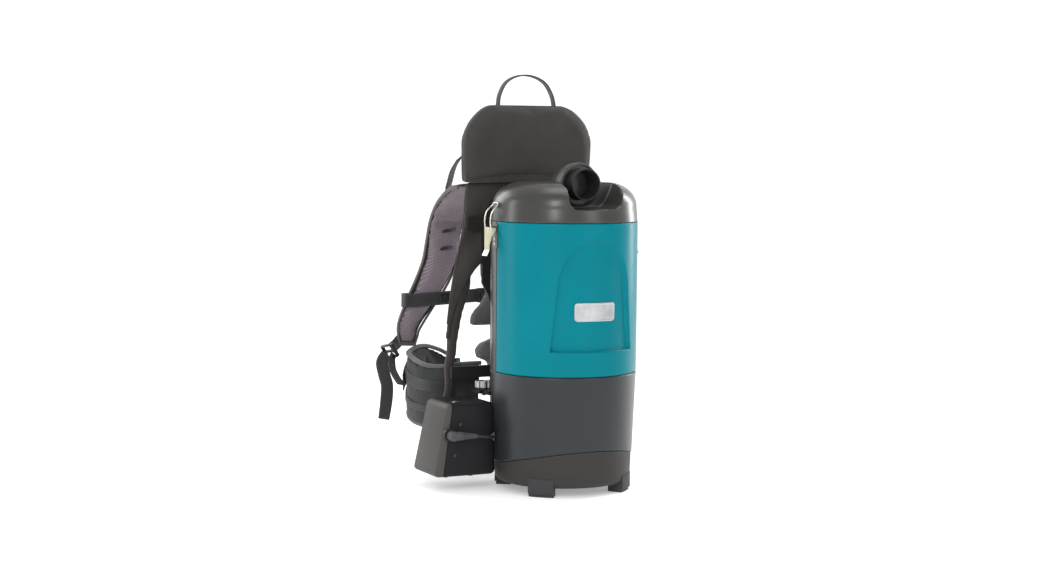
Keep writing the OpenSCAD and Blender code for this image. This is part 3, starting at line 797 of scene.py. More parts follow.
def make_lid(material):
    outer = [(0.0, 0.0)] + dome_outline(0)
    lid = revolve("lid_shell", [(max(r, 0.01), RIM_Z + 0.3 + z) for r, z in outer], material,
                  steps=192)
    boolean(lid, scoop_body(material), "DIFFERENCE")
    inner = revolve("inside", [(max(r, 0.01), RIM_Z - 1 + z)
                               for r, z in [(0.0, 0.0)] + dome_outline(3)], material, steps=96)
    boolean(inner, scoop_body(material, 3.5), "DIFFERENCE")
    boolean(lid, inner, "DIFFERENCE")
    neck = [(0, -BOSS_Y + 3, INLET_Z, 67, 67), (0, -36, INLET_Z, 68, 67),
            (0, -18, INLET_Z - 5, 70, 60), (0, 0, INLET_Z - 12, 66, 46),
            (0, 18, INLET_Z - 19, 50, 34)]
    frames = stations_frames(neck, (1, 0, 0), 4)
    boolean(lid, sweep("neck", frames, lambda w, t: round_section(w, t, 40), material), "UNION")
    boolean(lid, along_inlet("boss", -BOSS_Y, -34, BOSS_R, material), "UNION")
    remesh(lid, 1.7, 5)
    settle_on_dome(lid)
    recess = along_inlet("recess", -BOSS_Y - 6, -BOSS_Y + 5, BOSS_R - 3.4, material)
    boolean(lid, recess, "DIFFERENCE")
    bore = along_inlet("bore", -BOSS_Y - 4, -32, SLEEVE_R + 0.3, material)
    boolean(lid, bore, "DIFFERENCE")
    throat = along_inlet("throat", -34, 8, SLEEVE_R - 2.5, material)
    boolean(lid, throat, "DIFFERENCE")
    return shade_smooth(lid, 38)


def settle_on_dome(lid):
    """Puts the points that lie close to the dome's own outline exactly on it."""
    line = []
    corners = [(r, RIM_Z + 0.3 + z) for r, z in dome_outline(0)]
    for a, b in zip(corners, corners[1:]):
        line += [(a[0] + (b[0] - a[0]) * k / 12, a[1] + (b[1] - a[1]) * k / 12) for k in range(12)]
    line = np.array(line)
    points = vertex_array(lid.data) / MM
    radius = np.hypot(points[:, 0], points[:, 1])
    for i in range(len(points)):
        r, z = radius[i], points[i, 2]
        gap = (line[:, 0] - r) ** 2 + (line[:, 1] - z) ** 2
        k = gap.argmin()
        if gap[k] < 0.8 and z > RIM_Z + 1:
            points[i, :2] *= line[k, 0] / max(r, 1e-6)
            points[i, 2] = line[k, 1]
    set_vertices(lid.data, points * MM)


def make_sleeve(material):
    y0, y1 = sleeve_lo.y, sleeve_hi.y
    rim = SLEEVE_R + 0.4
    bore = 23.0
    outline = [(bore, -y1), (bore, -y0 - 1.4), (bore + 0.5, -y0 - 0.4), (bore + 1.2, -y0),
               (rim - 0.7, -y0), (rim, -y0 - 0.6), (rim, -y0 - 1.8), (SLEEVE_R, -y0 - 2.4),
               (SLEEVE_R, -y1)]
    sleeve = revolve("hose_sleeve", outline, material, steps=128)
    move_mesh(sleeve, 0, 0, INLET_Z, turned(90, "X"))
    sleeve.data.set_sharp_from_angle(angle=math.radians(40))
    return sleeve


# ---------------------------------------------------------------- battery housing
def battery_cage(material):
    lo = box_mm("battery_cover")[0]
    hi = box_mm("battery_housing")[1]
    lean = 24
    taper = 0.08
    corners = []
    for x0, x1 in ((lo.x, lo.x + lean), (hi.x, hi.x)):
        for y in (lo.y, hi.y):
            mid = (lo.y + hi.y) / 2
            corners.append((x0, y, lo.z))
            corners.append((x1, mid + (y - mid) * (1 - taper), hi.z))
    return bevel(mesh_from("cage", corners, BOX_FACES, material), 9, 6)


def cover_seam(grow):
    """Slanted plane, as a large block, between the battery housing and its outer cover."""
    lo = box_mm("battery_cover")[0]
    at = lo.x + 11 + grow
    return [(at - 200, -60), (at - 9, -60), (at + 33, 220), (at - 200, 220)]


def make_battery(housing_material, cover_material):
    cover = battery_cage(cover_material)
    cover.name = "battery_outer_cover"
    keep = extrude_y("keep", cover_seam(-0.35), -50, 200, cover_material)
    boolean(cover, keep, "INTERSECT")
    shell = battery_cage(housing_material)
    shell.name = "battery_shell"
    boolean(shell, extrude_y("cut", cover_seam(0.35), -50, 200, housing_material), "DIFFERENCE")
    canister = revolve("canister", [(0.01, -1), (housing_r(0) + 0.6, -1), (CAN_R + 0.6, SPLIT_Z),
                                    (0.01, SPLIT_Z)], housing_material, steps=192)
    boolean(shell, canister, "DIFFERENCE")
    for piece in (cover, shell):
        bevel(piece, 0.7, 2, 40)
        shade_smooth(piece, 42)
    return cover, shell


# ---------------------------------------------------------------- padded goods
CLOTH_FRAMES = 20


def puff(piece, voxel, pressure, cap):
    """Inflates a closed pad as cloth, moving no point further than cap millimetres."""
    remesh(piece, voxel, 2)
    rest = vertex_array(piece.data)
    cloth_mod = piece.modifiers.new("cloth", "CLOTH")
    settings = cloth_mod.settings
    settings.quality = 5
    settings.use_pressure = True
    settings.uniform_pressure_force = pressure
    settings.effector_weights.gravity = 0
    settings.tension_stiffness = 12
    settings.bending_stiffness = 1.5
    for step in range(1, CLOTH_FRAMES + 1):
        scene.frame_set(step)
    graph = bpy.context.evaluated_depsgraph_get()
    move = vertex_array(piece.evaluated_get(graph).data) - rest
    piece.modifiers.clear()
    scene.frame_set(1)
    far = np.linalg.norm(move, axis=1)
    limit = cap * MM
    scale = np.where(far > limit, limit / np.maximum(far, 1e-9), 1.0)
    set_vertices(piece.data, rest + move * scale[:, None])
    return shade_smooth(subdivide(piece))


def wrinkle(piece, depth, size, seed=0.0, stretch=(1, 1, 1)):
    """Pushes the surface in and out along its normals by soft noise."""
    normals = vertex_array(piece.data, "normal")

    def shift(p, i):
        q = Vector((p.x * stretch[0], p.y * stretch[1], p.z * stretch[2])) / size
        q.x += seed
        return Vector(normals[i]) * (noise.noise(q) * depth)
    return displace(piece, shift)


def tube_along(name, points, radius, material, closed=False, sides=10):
    """Round piping through points in millimetres."""
    n = len(points)
    rings, uvs = [], []
    run = 0.0
    for i, p in enumerate(points):
        p = Vector(p)
        ahead = Vector(points[(i + 1) % n if closed else min(i + 1, n - 1)])
        behind = Vector(points[(i - 1) % n if closed else max(i - 1, 0)])
        along = (ahead - behind).normalized()
        side = along.cross(Vector((0.13, 0.97, 0.21))).normalized()
        up = side.cross(along)
        if i:
            run += (p - Vector(points[i - 1])).length
        for k in range(sides):
            a = 2 * math.pi * k / sides
            rings.append(p + side * (radius * math.cos(a)) + up * (radius * math.sin(a)))
            uvs.append((radius * a * MM, run * MM))
    faces = grid_faces(n, sides, True)
    if closed:
        faces += [((n - 1) * sides + k, (n - 1) * sides + (k + 1) % sides, (k + 1) % sides, k)
                  for k in range(sides)]
    else:
        faces += [tuple(reversed(range(sides))), tuple((n - 1) * sides + k for k in range(sides))]
    return mesh_from(name, rings, faces, material, uvs=uvs)


def resample(points, spacing):
    """Points at an even spacing along a closed outline."""
    out = []
    for a, b in zip(points, points[1:] + points[:1]):
        steps = max(1, round(math.dist(a, b) / spacing))
        out += [tuple(a[j] + (b[j] - a[j]) * k / steps for j in range(len(a)))
                for k in range(steps)]
    return out


def stitches(name, points, material):
    """Row of short thread stitches lying along a line."""
    pitch, length, radius = 3.4, 2.2, 0.35
    even = [Vector(p) for p in points]
    parts, run, want = [], 0.0, 0.0
    for a, b in zip(even, even[1:]):
        step = (b - a).length
        while want < run + step and step > 0:
            t = (want - run) / step
            middle = a.lerp(b, t)
            along = (b - a).normalized()
            parts.append((middle - along * length / 2, middle + along * length / 2))
            want += pitch
        run += step
    points_out, faces = [], []
    for start, end in parts:
        along = (end - start).normalized()
        side = along.cross(Vector((0.13, 0.97, 0.21))).normalized()
        up = side.cross(along)
        base = len(points_out)
        for place, grow in ((start, 0.4), (start.lerp(end, 0.5), 1.0), (end, 0.4)):
            for k in range(5):
                a = 2 * math.pi * k / 5
                points_out.append(place + (side * math.cos(a) + up * math.sin(a)) * radius * grow)
        faces += [tuple(base + i for i in f) for f in grid_faces(3, 5, True)]
        faces.append(tuple(base + k for k in reversed(range(5))))
        faces.append(tuple(base + 10 + k for k in range(5)))
    return mesh_from(name, points_out, faces, material)


def head_outline(shrink=0.0):
    """Outline of the head cushion in X and Z, with its top corners slanted."""
    right = [(120 - shrink, 503 + shrink), (120 - shrink, 572)]
    right += [(64 + (55 - shrink) * math.cos(math.radians(a)) ** 1.22,
               572 + (60 - shrink) * math.sin(math.radians(a)) ** 1.22)
              for a in range(6, 91, 6)]
    return right + [(-x, z) for x, z in reversed(right)]


def make_head_pad(cloth_material, trim_material):
    pad = extrude_y("head_cushion", head_outline(-2.5), 131, 157, cloth_material)
    puff(pad, 5.0, 4.0, 6.0)
    wrinkle(pad, 1.6, 46, 3.1, (1, 1, 0.55))
    seam = [(x, 146, z) for x, z in resample(head_outline(3.5), 5)]
    piping = tube_along("head_piping", seam, 1.7, trim_material, closed=True)
    hem_line = [(x, 128.9, 511.5) for x in range(-117, 118, 3)]
    hem = sweep("head_hem", stations_frames([(-118.5, 133, 507, 14, 3), (0, 130.5, 507, 14, 3),
                                             (118.5, 133, 507, 14, 3)], (0, 0, 1), 8),
                tape_section, cloth_material)
    sewn = stitches("head_stitches", hem_line, trim_material)
    return pad, piping, hem, sewn


def symmetric(half):
    """Closed outline from its left half, listed from the top down."""
    return half + [(-x, z) for x, z in reversed(half)]


BACK_COVER = symmetric([(-108, 500), (-112, 495), (-116, 440), (-118, 419), (-129, 368),
                        (-138, 317), (-145, 259), (-148, 236), (-141, 236), (-138, 262),
                        (-126, 300), (-113, 327), (-97, 350), (-70, 376)])
COLUMN = [(-100, 480), (-110, 440), (-126, 368), (-136, 317), (-144, 235), (-150, 134),
          (-137, 134), (-124, 235), (-110, 280), (-99, 315), (-94, 350), (-92, 400), (-91, 480)]
CENTRE_PAD = symmetric([(-50, 480), (-80, 470), (-87, 440), (-87, 340), (-78, 306), (-88, 286),
                        (-102, 266), (-104, 246)])
LUMBAR_PAD = symmetric([(-56, 244), (-82, 236), (-92, 224), (-90, 210), (-74, 196), (-66, 170),
                        (-66, 130), (-58, 96)])


def pad_from(name, node, outline, inset, material, voxel, cap, front=2.0, back=2.0):
    """Puffed pad of an outline in X and Z that fills its CAD solid's depth."""
    lo, hi = box_mm(node)
    mx = sum(x for x, z in outline) / len(outline)
    mz = sum(z for x, z in outline) / len(outline)
    small = [(x - math.copysign(min(inset, abs(x - mx)), x - mx),
              z - math.copysign(min(inset, abs(z - mz)), z - mz)) for x, z in outline]
    pad = extrude_y(name, small, lo.y + front, hi.y - back, material)
    return puff(pad, voxel, 4.0, cap)


def make_back_cover(material):
    lo, hi = box_mm("back_cover")
    piece = extrude_y("back_cloth", BACK_COVER, lo.y, hi.y, material)
    remesh(piece, 2.4, 3)
    edge = lambda p: min(1.0, max(0.0, (500 - p.z) / 20))

    def folds(p, i):
        s = abs(p.x) * 0.78 + (p.z - 376) * 0.62
        sweep_fold = math.sin(s / 9.0 + 1.4 * noise.noise(p / 60))
        fade = math.exp(-((p.z - 395) / 60) ** 2) * (0.4 + 0.6 * min(1.0, abs(p.x) / 60))
        soft = noise.noise(Vector((p.x / 42, 0.0, p.z / 75)))
        return Vector((0, (-2.6 * sweep_fold * fade - 3.2 * soft) * edge(p), 0))
    return displace(piece, folds)


# ---------------------------------------------------------------- small hard pieces
def make_badge(material):
    """Plain rounded nameplate, bowed to lie on the cover's sunk panel."""
    half = (badge_hi.x - badge_lo.x) / 2
    tall = (badge_hi.z - badge_lo.z) / 2
    middle = (badge_hi.z + badge_lo.z) / 2

    def surface(lift, border):
        def place(u, v):
            x = -half * math.cos(math.pi * u) * 0.999
            over = max(0.0, abs(x) - (half - 6))
            h = tall - 6 + math.sqrt(max(0.0, 36 - over * over))
            z = middle + h * math.sin(math.pi * (v - 0.5))
            edge = min(half - abs(x), h - abs(z - middle))
            r = PANEL_R + 0.1 + lift
            if border:
                r -= 0.7 * (1 - min(1.0, edge / 0.9)) ** 2
                r -= 0.45 * smoothstep((edge - 2.2) / 0.7)
            return (x, -math.sqrt(r * r - x * x), z)
        return place
    return shell_grid("nameplate", surface(1.7, True), surface(0.0, False), 41, 91, material)


LATCH_Y = 8.0
BAIL_X = -133.0                    # axis of the wire's ends in the lever


def make_lever(material):
    x0 = BAIL_X - 3.4
    foot, y = 394.0, LATCH_Y
    face = extrude_y("lever_face", [(x0, 431), (x0 + 1.4, 431), (x0 + 1.4, foot),
                                    (x0 - 3.0, foot - 9.6), (x0 - 4.4, foot - 9.2), (x0, foot)],
                     y - 9, y + 9, material)
    cheek = [(x0 + 0.7, 430.6), (-123, 430), (-123, 426), (BAIL_X + 2, 416), (x0 + 0.7, 398)]
    sides = [extrude_y("cheek", cheek, y + a, y + a + 1.4, material) for a in (-8.6, 7.2)]
    ribs = [block("rib", (x0 - 0.6, y + a, 400), (x0 + 0.4, y + a + 1.6, 422), material, 0.4, 2)
            for a in (-4.8, 3.2)]
    for part in [face] + sides:
        bevel(part, 0.45, 2, 25)
    return join("lever", [face] + sides + ribs)


def make_bail(material):
    y, bail_x, cross_x, top, bottom = LATCH_Y, BAIL_X, -120.5, 470.0, 428.0
    rise = top - bottom
    leg = [(bail_x, 10.5, bottom - 1.2), (bail_x - 2, 10.7, bottom + rise * 0.3),
           (bail_x + 1, 10.7, bottom + rise * 0.65), (cross_x - 1.5, 9.6, top - 4),
           (cross_x, 6, top)]
    stations = [(p[0], y - p[1], p[2], 2.5, 2.5) for p in leg]
    stations += [(p[0], y + p[1], p[2], 2.5, 2.5) for p in reversed(leg)]
    frames = stations_frames(stations, (1, 0, 0), 7)
    wire = sweep("bail", frames, lambda w, t: round_section(w, t, 14), material)
    ends = [rod("end", (bail_x, y + a, bottom), (0, 1, 0), 1.25, 4.6, material, 20, 0.4)
            for a in (-8.9, 8.9)]
    return join("bail", [wire] + ends)


def make_plug(material):
    socket = box_mm("battery_socket")
    x = (socket[0].x + socket[1].x) / 2
    z = (socket[0].z + socket[1].z) / 2
    front = box_mm("lead_plug")[0].y
    back = front + 16.5
    head = revolve("plug_head", [(0.01, 0), (7.9, 0), (8, 4.5), (8, 6), (7.6, 6.6), (7.6, 7.6),
                                 (8, 8.2), (8, 13.4), (7.2, 15.4), (5.4, 16.5), (0.01, 16.5)],
                   material, steps=64)
    move_mesh(head, x, back, z, turned(90, "X"))
    elbow = revolve("plug_elbow", [(0.01, 0), (7.5, 0), (7.3, 9), (6.7, 17), (6.1, 18.2),
                                   (0.01, 18.2)], material, steps=48)
    move_mesh(elbow, x + 1, 6, z - 0.5, turned(90, "Y"))
    outline = []
    for k in range(8):
        at = 3.0 * k
        size = 6.1 - 0.33 * k
        outline += [(size, at), (size, at + 1.5), (size - 1.0, at + 1.9), (size - 1.0, at + 2.6)]
    sleeve = revolve("strain_sleeve", [(0.01, 0)] + outline + [(3.0, 24.0), (0.01, 24.0)],
                     material, steps=40)
    move_mesh(sleeve, -176.2, 6, 93.3, turned(93, "Y"))
    return join("lead_plug_body", [head, elbow, sleeve])


LEAD_ROUTE = [(-152, 6, 92), (-148, 5, 91.5), (-144, 4, 91), (-140, 3.5, 90.5), (-136, 3.5, 90),
              (-132, 4, 89.5), (-128, 5.5, 89), (-124, 8, 88.5), (-121.6, 9.8, 88)]
LEAD_D = 5.0


def make_lead(material):
    """The short lead between the plug's sleeve and the gland, as a round curve."""
    stations = [(*p, LEAD_D, LEAD_D) for p in LEAD_ROUTE]
    line = [Vector(p[:3]) for p in smooth_stations(stations, 6)]
    curve = bpy.data.curves.new("lead", "CURVE")
    curve.dimensions = "3D"
    curve.bevel_depth = LEAD_D / 2 * MM
    curve.bevel_resolution = 8
    run = curve.splines.new("POLY")
    run.points.add(len(line) - 1)
    for point, place in zip(run.points, line):
        point.co = (*(place * MM), 1)
    curve.use_fill_caps = True
    curve.materials.append(material)
    lead = bpy.data.objects.new("lead", curve)
    scene.collection.objects.link(lead)
    length = sum((b - a).length for a, b in zip(line, line[1:])) * MM
    return lead, length


def paint(material, slot, *nodes):
    """Gives carried-over CAD nodes their look."""
    for node in nodes:
        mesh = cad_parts[node].data
        mesh.materials.clear()
        mesh.materials.append(material)
        mesh.polygons.foreach_set("material_index", [0] * len(mesh.polygons))


# ---------------------------------------------------------------- build: hard parts
make_camera()
make_lights()

dark = plastic("dark_shell_look", (0.037, 0.036, 0.034), 0.27, shine=0.5)
teal = plastic("teal_look", (0.0003, 0.178, 0.22), 0.3, wear=1.0, shine=0.08)
grey = plastic("grey_shell_look", (0.021, 0.025, 0.028), 0.32, shine=0.34)
base_look = plastic("base_look", (0.034, 0.031, 0.029), 0.55, grain=0.0002, grain_scale=900)
housing_look = plastic("housing_look", (0.012, 0.011, 0.013), 0.5, grain=0.0002,
                       grain_scale=1000, shine=0.12)
cover_look = plastic("cover_look", (0.05, 0.046, 0.043), 0.5, grain=0.0002, grain_scale=1000,
                     wear=1.9)
black = plastic("black_look", (0.014, 0.014, 0.015), 0.45)
switch_look = plastic("switch_look", (0.016, 0.016, 0.017), 0.22, coat=0.4)
badge_look = metal("badge_look", (0.52, 0.53, 0.54), 0.34, brush=(1, 1, 60))
latch_look = metal("latch_look", (0.62, 0.58, 0.42), 0.3)
bracket_look = metal("bracket_look", (0.2, 0.19, 0.15), 0.36)
wire_look = metal("wire_look", (0.66, 0.64, 0.54), 0.26)
steel_look = metal("steel_look", (0.6, 0.6, 0.6), 0.3)
screw_look = metal("screw_look", (0.05, 0.05, 0.055), 0.42)
knob_look = metal("knob_look", (0.52, 0.52, 0.52), 0.38, brush=(1, 1, 1))
motor_look = metal("motor_look", (0.45, 0.46, 0.47), 0.4)
alloy_look = metal("alloy_look", (0.56, 0.57, 0.59), 0.36)
copper_look = metal("copper_look", (0.6, 0.27, 0.13), 0.38, brush=(1, 1, 120))
foot_look = rubber("foot_look", (0.024, 0.024, 0.026))
plug_look = rubber("plug_look", (0.04, 0.04, 0.042), 0.6)
lead_look = rubber("lead_look", (0.015, 0.015, 0.015), 0.5)
foam_look = foam("foam_look", (0.6, 0.59, 0.54))
bag_look = cloth("bag_look", (0.6, 0.57, 0.5), pitch=1400, sheen=0.05)
collar_look = plastic("collar_look", (0.05, 0.15, 0.34), 0.5)
pack_look = plastic("pack_look", (0.05, 0.08, 0.2), 0.4)
board_look = board_material("board_look", (0.02, 0.1, 0.045))

finish_piece(make_front_cover(teal), "root", "teal_plastic", "front_cover")
finish_piece(make_badge(badge_look), "root", "badge_metal", "badge")
finish_piece(make_motor_housing(grey), "root", "grey_plastic", "motor_housing")
finish_piece(make_base_cover(base_look), "root", "base_plastic", "base_cover")
finish_piece(make_lid(dark), "lid", "dark_plastic", "lid")
finish_piece(make_sleeve(black), "inlet", "black_plastic", "inlet_sleeve")
outer_cover, battery_shell = make_battery(housing_look, cover_look)
finish_piece(outer_cover, "root", "cover_plastic", "battery_cover")
finish_piece(battery_shell, "root", "housing_plastic", "battery_housing")
for side in ("left", "right"):
    lever = make_lever(latch_look)
    bail = make_bail(wire_look)
    if side == "right":
        for piece in (lever, bail):
            flip = Matrix.Scale(-1, 4, (1, 0, 0))
            piece.data.transform(flip)
            piece.data.flip_normals()
    lever.name = f"{side}_lever"
    bail.name = f"{side}_bail"
    finish_piece(lever, f"latch_{side}", "latch_metal", f"latch_{side}_lever")
    finish_piece(bail, f"bail_{side}", "latch_wire", f"latch_{side}_bail")

finish_piece(make_plug(plug_look), "root", "plug_rubber", "lead_plug")
lead, lead_length = make_lead(lead_look)
finish_piece(lead, "root", "lead_rubber", "power_lead")

paint(dark, "dark_plastic", "canister_body")
paint(foot_look, "foot_rubber", "feet", "lid_gasket", "motor_mounts")
paint(bracket_look, "latch_metal", "lid_catches", "latch_brackets")
paint(steel_look, "steel", "latch_pins", "motor_shaft", "motor_bearings")
paint(bag_look, "filter_fabric", "filter_bag")
paint(collar_look, "collar_plastic", "bag_collar")
paint(black, "black_plastic", "filter_grid", "switch_bezel", "battery_socket", "back_plate",
      "upper_bracket", "lower_bracket")
paint(foam_look, "filter_foam", "motor_filter", "exhaust_foam")
paint(grey, "grey_plastic", "motor_plate")
paint(motor_look, "motor_steel", "motor_can")
paint(copper_look, "copper", "rotor")
paint(alloy_look, "motor_alloy", "impeller")
paint(pack_look, "pack_plastic", "battery_pack")
paint(board_look, "board", "control_board")
paint(switch_look, "switch_plastic", "power_switch")
paint(plug_look, "plug_rubber", "lead_gland")
paint(screw_look, "screw_steel", "housing_screws")
paint(knob_look, "knob_metal", "clamp_knob_left", "clamp_knob_right")


# ---------------------------------------------------------------- harness
STRAP = [(-88, 157, 492, 70, 12), (-88, 190, 488, 70, 13), (-88, 225, 474, 70, 14),
         (-88, 255, 455, 70, 14), (-88, 279, 427, 70, 14), (-89, 293, 389, 70, 14),
         (-94, 298, 358, 67, 14), (-105, 301, 328, 63, 14), (-127, 303, 288, 54, 13),
         (-148, 304, 248, 45, 12), (-152, 303, 227, 38, 11), (-153, 302, 213, 30, 9)]
HIP_WING = [(-72, 176, 128, 130, 14), (-118, 179, 130, 124, 14), (-142, 190, 132, 112, 14),
            (-158, 212, 134, 110, 13), (-163, 244, 138, 112, 13), (-158, 278, 146, 110, 12),
            (-142, 306, 158, 94, 12), (-116, 324, 172, 74, 11), (-88, 333, 172, 58, 10),
            (-64, 335, 166, 44, 8)]
LIFTER = [(-118, 158, 541, 20, 2.2), (-119, 182, 523, 20, 2.2), (-112, 212, 503, 20, 2.2),
          (-106, 232, 491, 20, 2.2), (-101, 243, 480, 20, 2.2), (-98, 250, 470, 20, 2.2)]
HAUL_LOOP = [(-53, 148, 628, 14, 2.6), (-49, 150, 648, 14, 2.6), (-36, 152, 669, 14, 2.6),
             (-13, 154, 680, 14, 2.6)]
HAUL_LOOP += [(-x, *rest) for x, *rest in reversed(HAUL_LOOP)]
STRAP_ANCHOR = [(-154, 311, 230, 20, 2.2), (-163, 310.5, 221, 20, 2.2),
                (-173, 308, 212, 20, 2.2), (-183, 304, 206, 20, 2.2)]
LOWER_STRAP = [(-180, 300, 197, 22, 2.2), (-184, 297, 186, 22, 2.2), (-186, 289, 172, 22, 2.2),
               (-184, 277, 159, 22, 2.2), (-180, 262, 147, 22, 2.2)]
STRAP_TAIL = [(-191, 304, 196, 22, 2.0), (-199, 306, 182, 22, 2.0), (-195, 306, 160, 22, 2.0),
              (-190, 305, 140, 22, 2.0), (-192, 304, 112, 22, 2.0), (-197, 303, 82, 20, 2.0)]
BELT_LOOP = [(-66, 344, 166, 34, 2.6), (-90, 342.5, 170, 34, 2.6), (-121, 333.5, 172, 34, 2.6),
             (-150.5, 313.5, 158, 34, 2.6), (-168, 284, 148, 32, 2.6)]
CHEST_LOOP = [(-97, 314.5, 292, 24, 2.2), (-130, 315, 290.5, 24, 2.2), (-152, 314.5, 290, 24, 2.2),
              (-161, 309, 290, 24, 2.2), (-161, 297, 290, 24, 2.2), (-151, 291.8, 290, 24, 2.2),
              (-120, 291, 291.5, 24, 2.2), (-70, 291.2, 294, 24, 2.2), (-24, 291.5, 296, 24, 2.2)]


def both(piece, body, slot, *nodes):
    """Adds the mirrored copy of a left-hand piece. Each side takes its own nodes, if named so."""
    copy = mirrored(piece, piece.name.replace("left", "right"))
    finish_piece(piece, body, slot, *nodes)
    mates = [n.replace("left", "right") for n in nodes]
    finish_piece(copy, body, slot, *mates)
    return piece, copy


def ladder_lock(name, place, turn, size, material):
    """Webbing adjuster: a rounded frame with a slot on each side of its bar and a lifted edge."""
    w, d, h = size
    body = block(name, (-d / 2, -w / 2, -h / 2), (d / 2, w / 2, h / 2), material, 2.0, 3)
    tall = (h - 4.0 - 3.0) / 2
    for k in range(2):
        low = -h / 2 + 2.0 + k * (tall + 3.0)
        cut = block("slot", (-d, -w / 2 + 2.6, low), (d, w / 2 - 2.6, low + tall), material)
        boolean(body, cut, "DIFFERENCE")
    lip = rod("lip", (-d / 2 + 0.4, 0, h / 2 - 1.2), (0, 1, 0), 1.6, w - 3, material, 16, 0.8)
    body = join(name, [bevel(body, 0.5, 2, 35), lip])
    move_mesh(body, *place, turn)
    return body


def soft_wall(frames, section, name, material, voxel, cap):
    piece = sweep(name, frames, section, material)
    return puff(piece, voxel, 4.0, cap)


def make_shoulder_strap(mesh_material, shell_material, edge_material, web):
    frames = stations_frames(STRAP, (1, 0, 0), 6)
    slim = [(m, a, o, w - 5, t, r) for m, a, o, w, t, r in frames]
    padding = soft_wall(slim, crown_section(-0.12, 0.40, 3.4), "strap_padding_left",
                        mesh_material, 4.0, 4.0)
    padding = wrinkle(padding, 0.9, 34, 2.0)
    shell = sweep("strap_shell_left", slim, crown_section(-0.08, -0.46, 4.0), shell_material)
    subdivide(shell)
    wrinkle(shell, 1.1, 26, 5.0)
    # Binding along both edges; its lighter cloth tone is a painted highlight.
    edges = [sweep("edge", shifted(frames, k, 0.0, 3.6, 8.0), lambda w, t: round_section(w, t, 14),
                   edge_material) for k in (-0.475, 0.475)]
    end = frames[-1]
    tip = [(end[0] + end[1] * (k * end[3] / 2), end[1], end[2], 8.5, 6, 0) for k in (-1, 0, 1)]
    cap = tube_along("edge", [f[0] for f in tip], 3.6, edge_material)
    binding = join("strap_binding_left", edges + [cap])
    loops = []
    for z, y in ((413, 276.5), (382, 286.5)):
        row = [(-100, y + 1.5, z - 2, 6, 1.6), (-95, y - 2, z - 1.4, 6, 1.6),
               (-86, y - 4.5, z, 6, 1.6), (-77, y - 2, z + 1.4, 6, 1.6),
               (-72, y + 1.5, z + 2, 6, 1.6)]
        loops.append(tape("loop", row, (0, 0.3, 1), 4, web))
    daisy = join("strap_loops_left", loops)
    return padding, shell, binding, daisy


def make_hip_wing(face_material, edge_material, web):
    frames = stations_frames(HIP_WING, (0, 0, 1), 6)
    slim = [(m, a, o, w - 6, t, r) for m, a, o, w, t, r in frames]
    pad_shape = lambda w, t: [(w / 2 * np.sign(math.cos(a)) * abs(math.cos(a)) ** 0.45,
                               0.44 * t * np.sign(math.sin(a)) * abs(math.sin(a)) ** 0.7)
                              for a in np.linspace(0, 2 * math.pi, 28, endpoint=False)]
    pad = soft_wall(slim, pad_shape, "hip_pad_left", face_material, 4.6, 4.0)
    pad = wrinkle(pad, 1.5, 40, 7.0)
    edges = [sweep("edge", shifted(frames, k, 0.0, 7.5, 10.5),
                   lambda w, t: round_section(w, t, 16), edge_material) for k in (-0.475, 0.475)]
    last = frames[-1]
    rim = [last[0] + last[1] * (last[3] * 0.475 * math.cos(a)) +
           (last[0] - frames[-3][0]).normalized() * (6 * math.sin(a))
           for a in np.linspace(0, math.pi, 9)]
    edges.append(tube_along("edge", rim, 4.2, edge_material, sides=14))
    binding = join("hip_binding_left", edges)
    straps = []
    for offset, width in ((0.17, 20), (-0.2, 12)):
        run = shifted(frames[8:44], offset, -0.56, width, 2.0)
        straps.append(sweep("strap", run, tape_section, web))
    lines = join("hip_straps_left", straps)
    seams = join("hip_seams_left", [
        stitches("seam", [f[0] for f in shifted(frames[2:], k, 0.53, 1, 1)], edge_material)
        for k in (-0.36, 0.36)])
    return pad, binding, lines, seams


def make_columns(material):
    column = pad_from("column_left", "side_columns", COLUMN, 2, material, 3.6, 3.5, 1.2, 1.2)

    def folds(p, i):
        run = p.z / 13 + 1.6 * noise.noise(p / 30)
        side = 1.8 * noise.noise(Vector((p.z / 34, 3.0, 0)))
        return Vector((side, 1.5 * math.sin(run) * (0.4 + 0.6 * noise.noise(p / 50)), 0))
    return displace(column, folds)


def quilt(piece, grooves, depth, width, facing):
    """Presses stitched grooves, given as (X, low Z, high Z), into the side facing +Y or -Y."""
    normals = vertex_array(piece.data, "normal")

    def shift(p, i):
        face = max(0.0, normals[i][1] * facing)
        press = 0.0
        for x, low, high in grooves:
            inside = smoothstep((p.z - low) / 6) * smoothstep((high - p.z) / 6)
            press += inside * math.exp(-((p.x - x) / width) ** 2)
        return Vector((0, -facing * face * depth * press, 0))
    return displace(piece, shift)


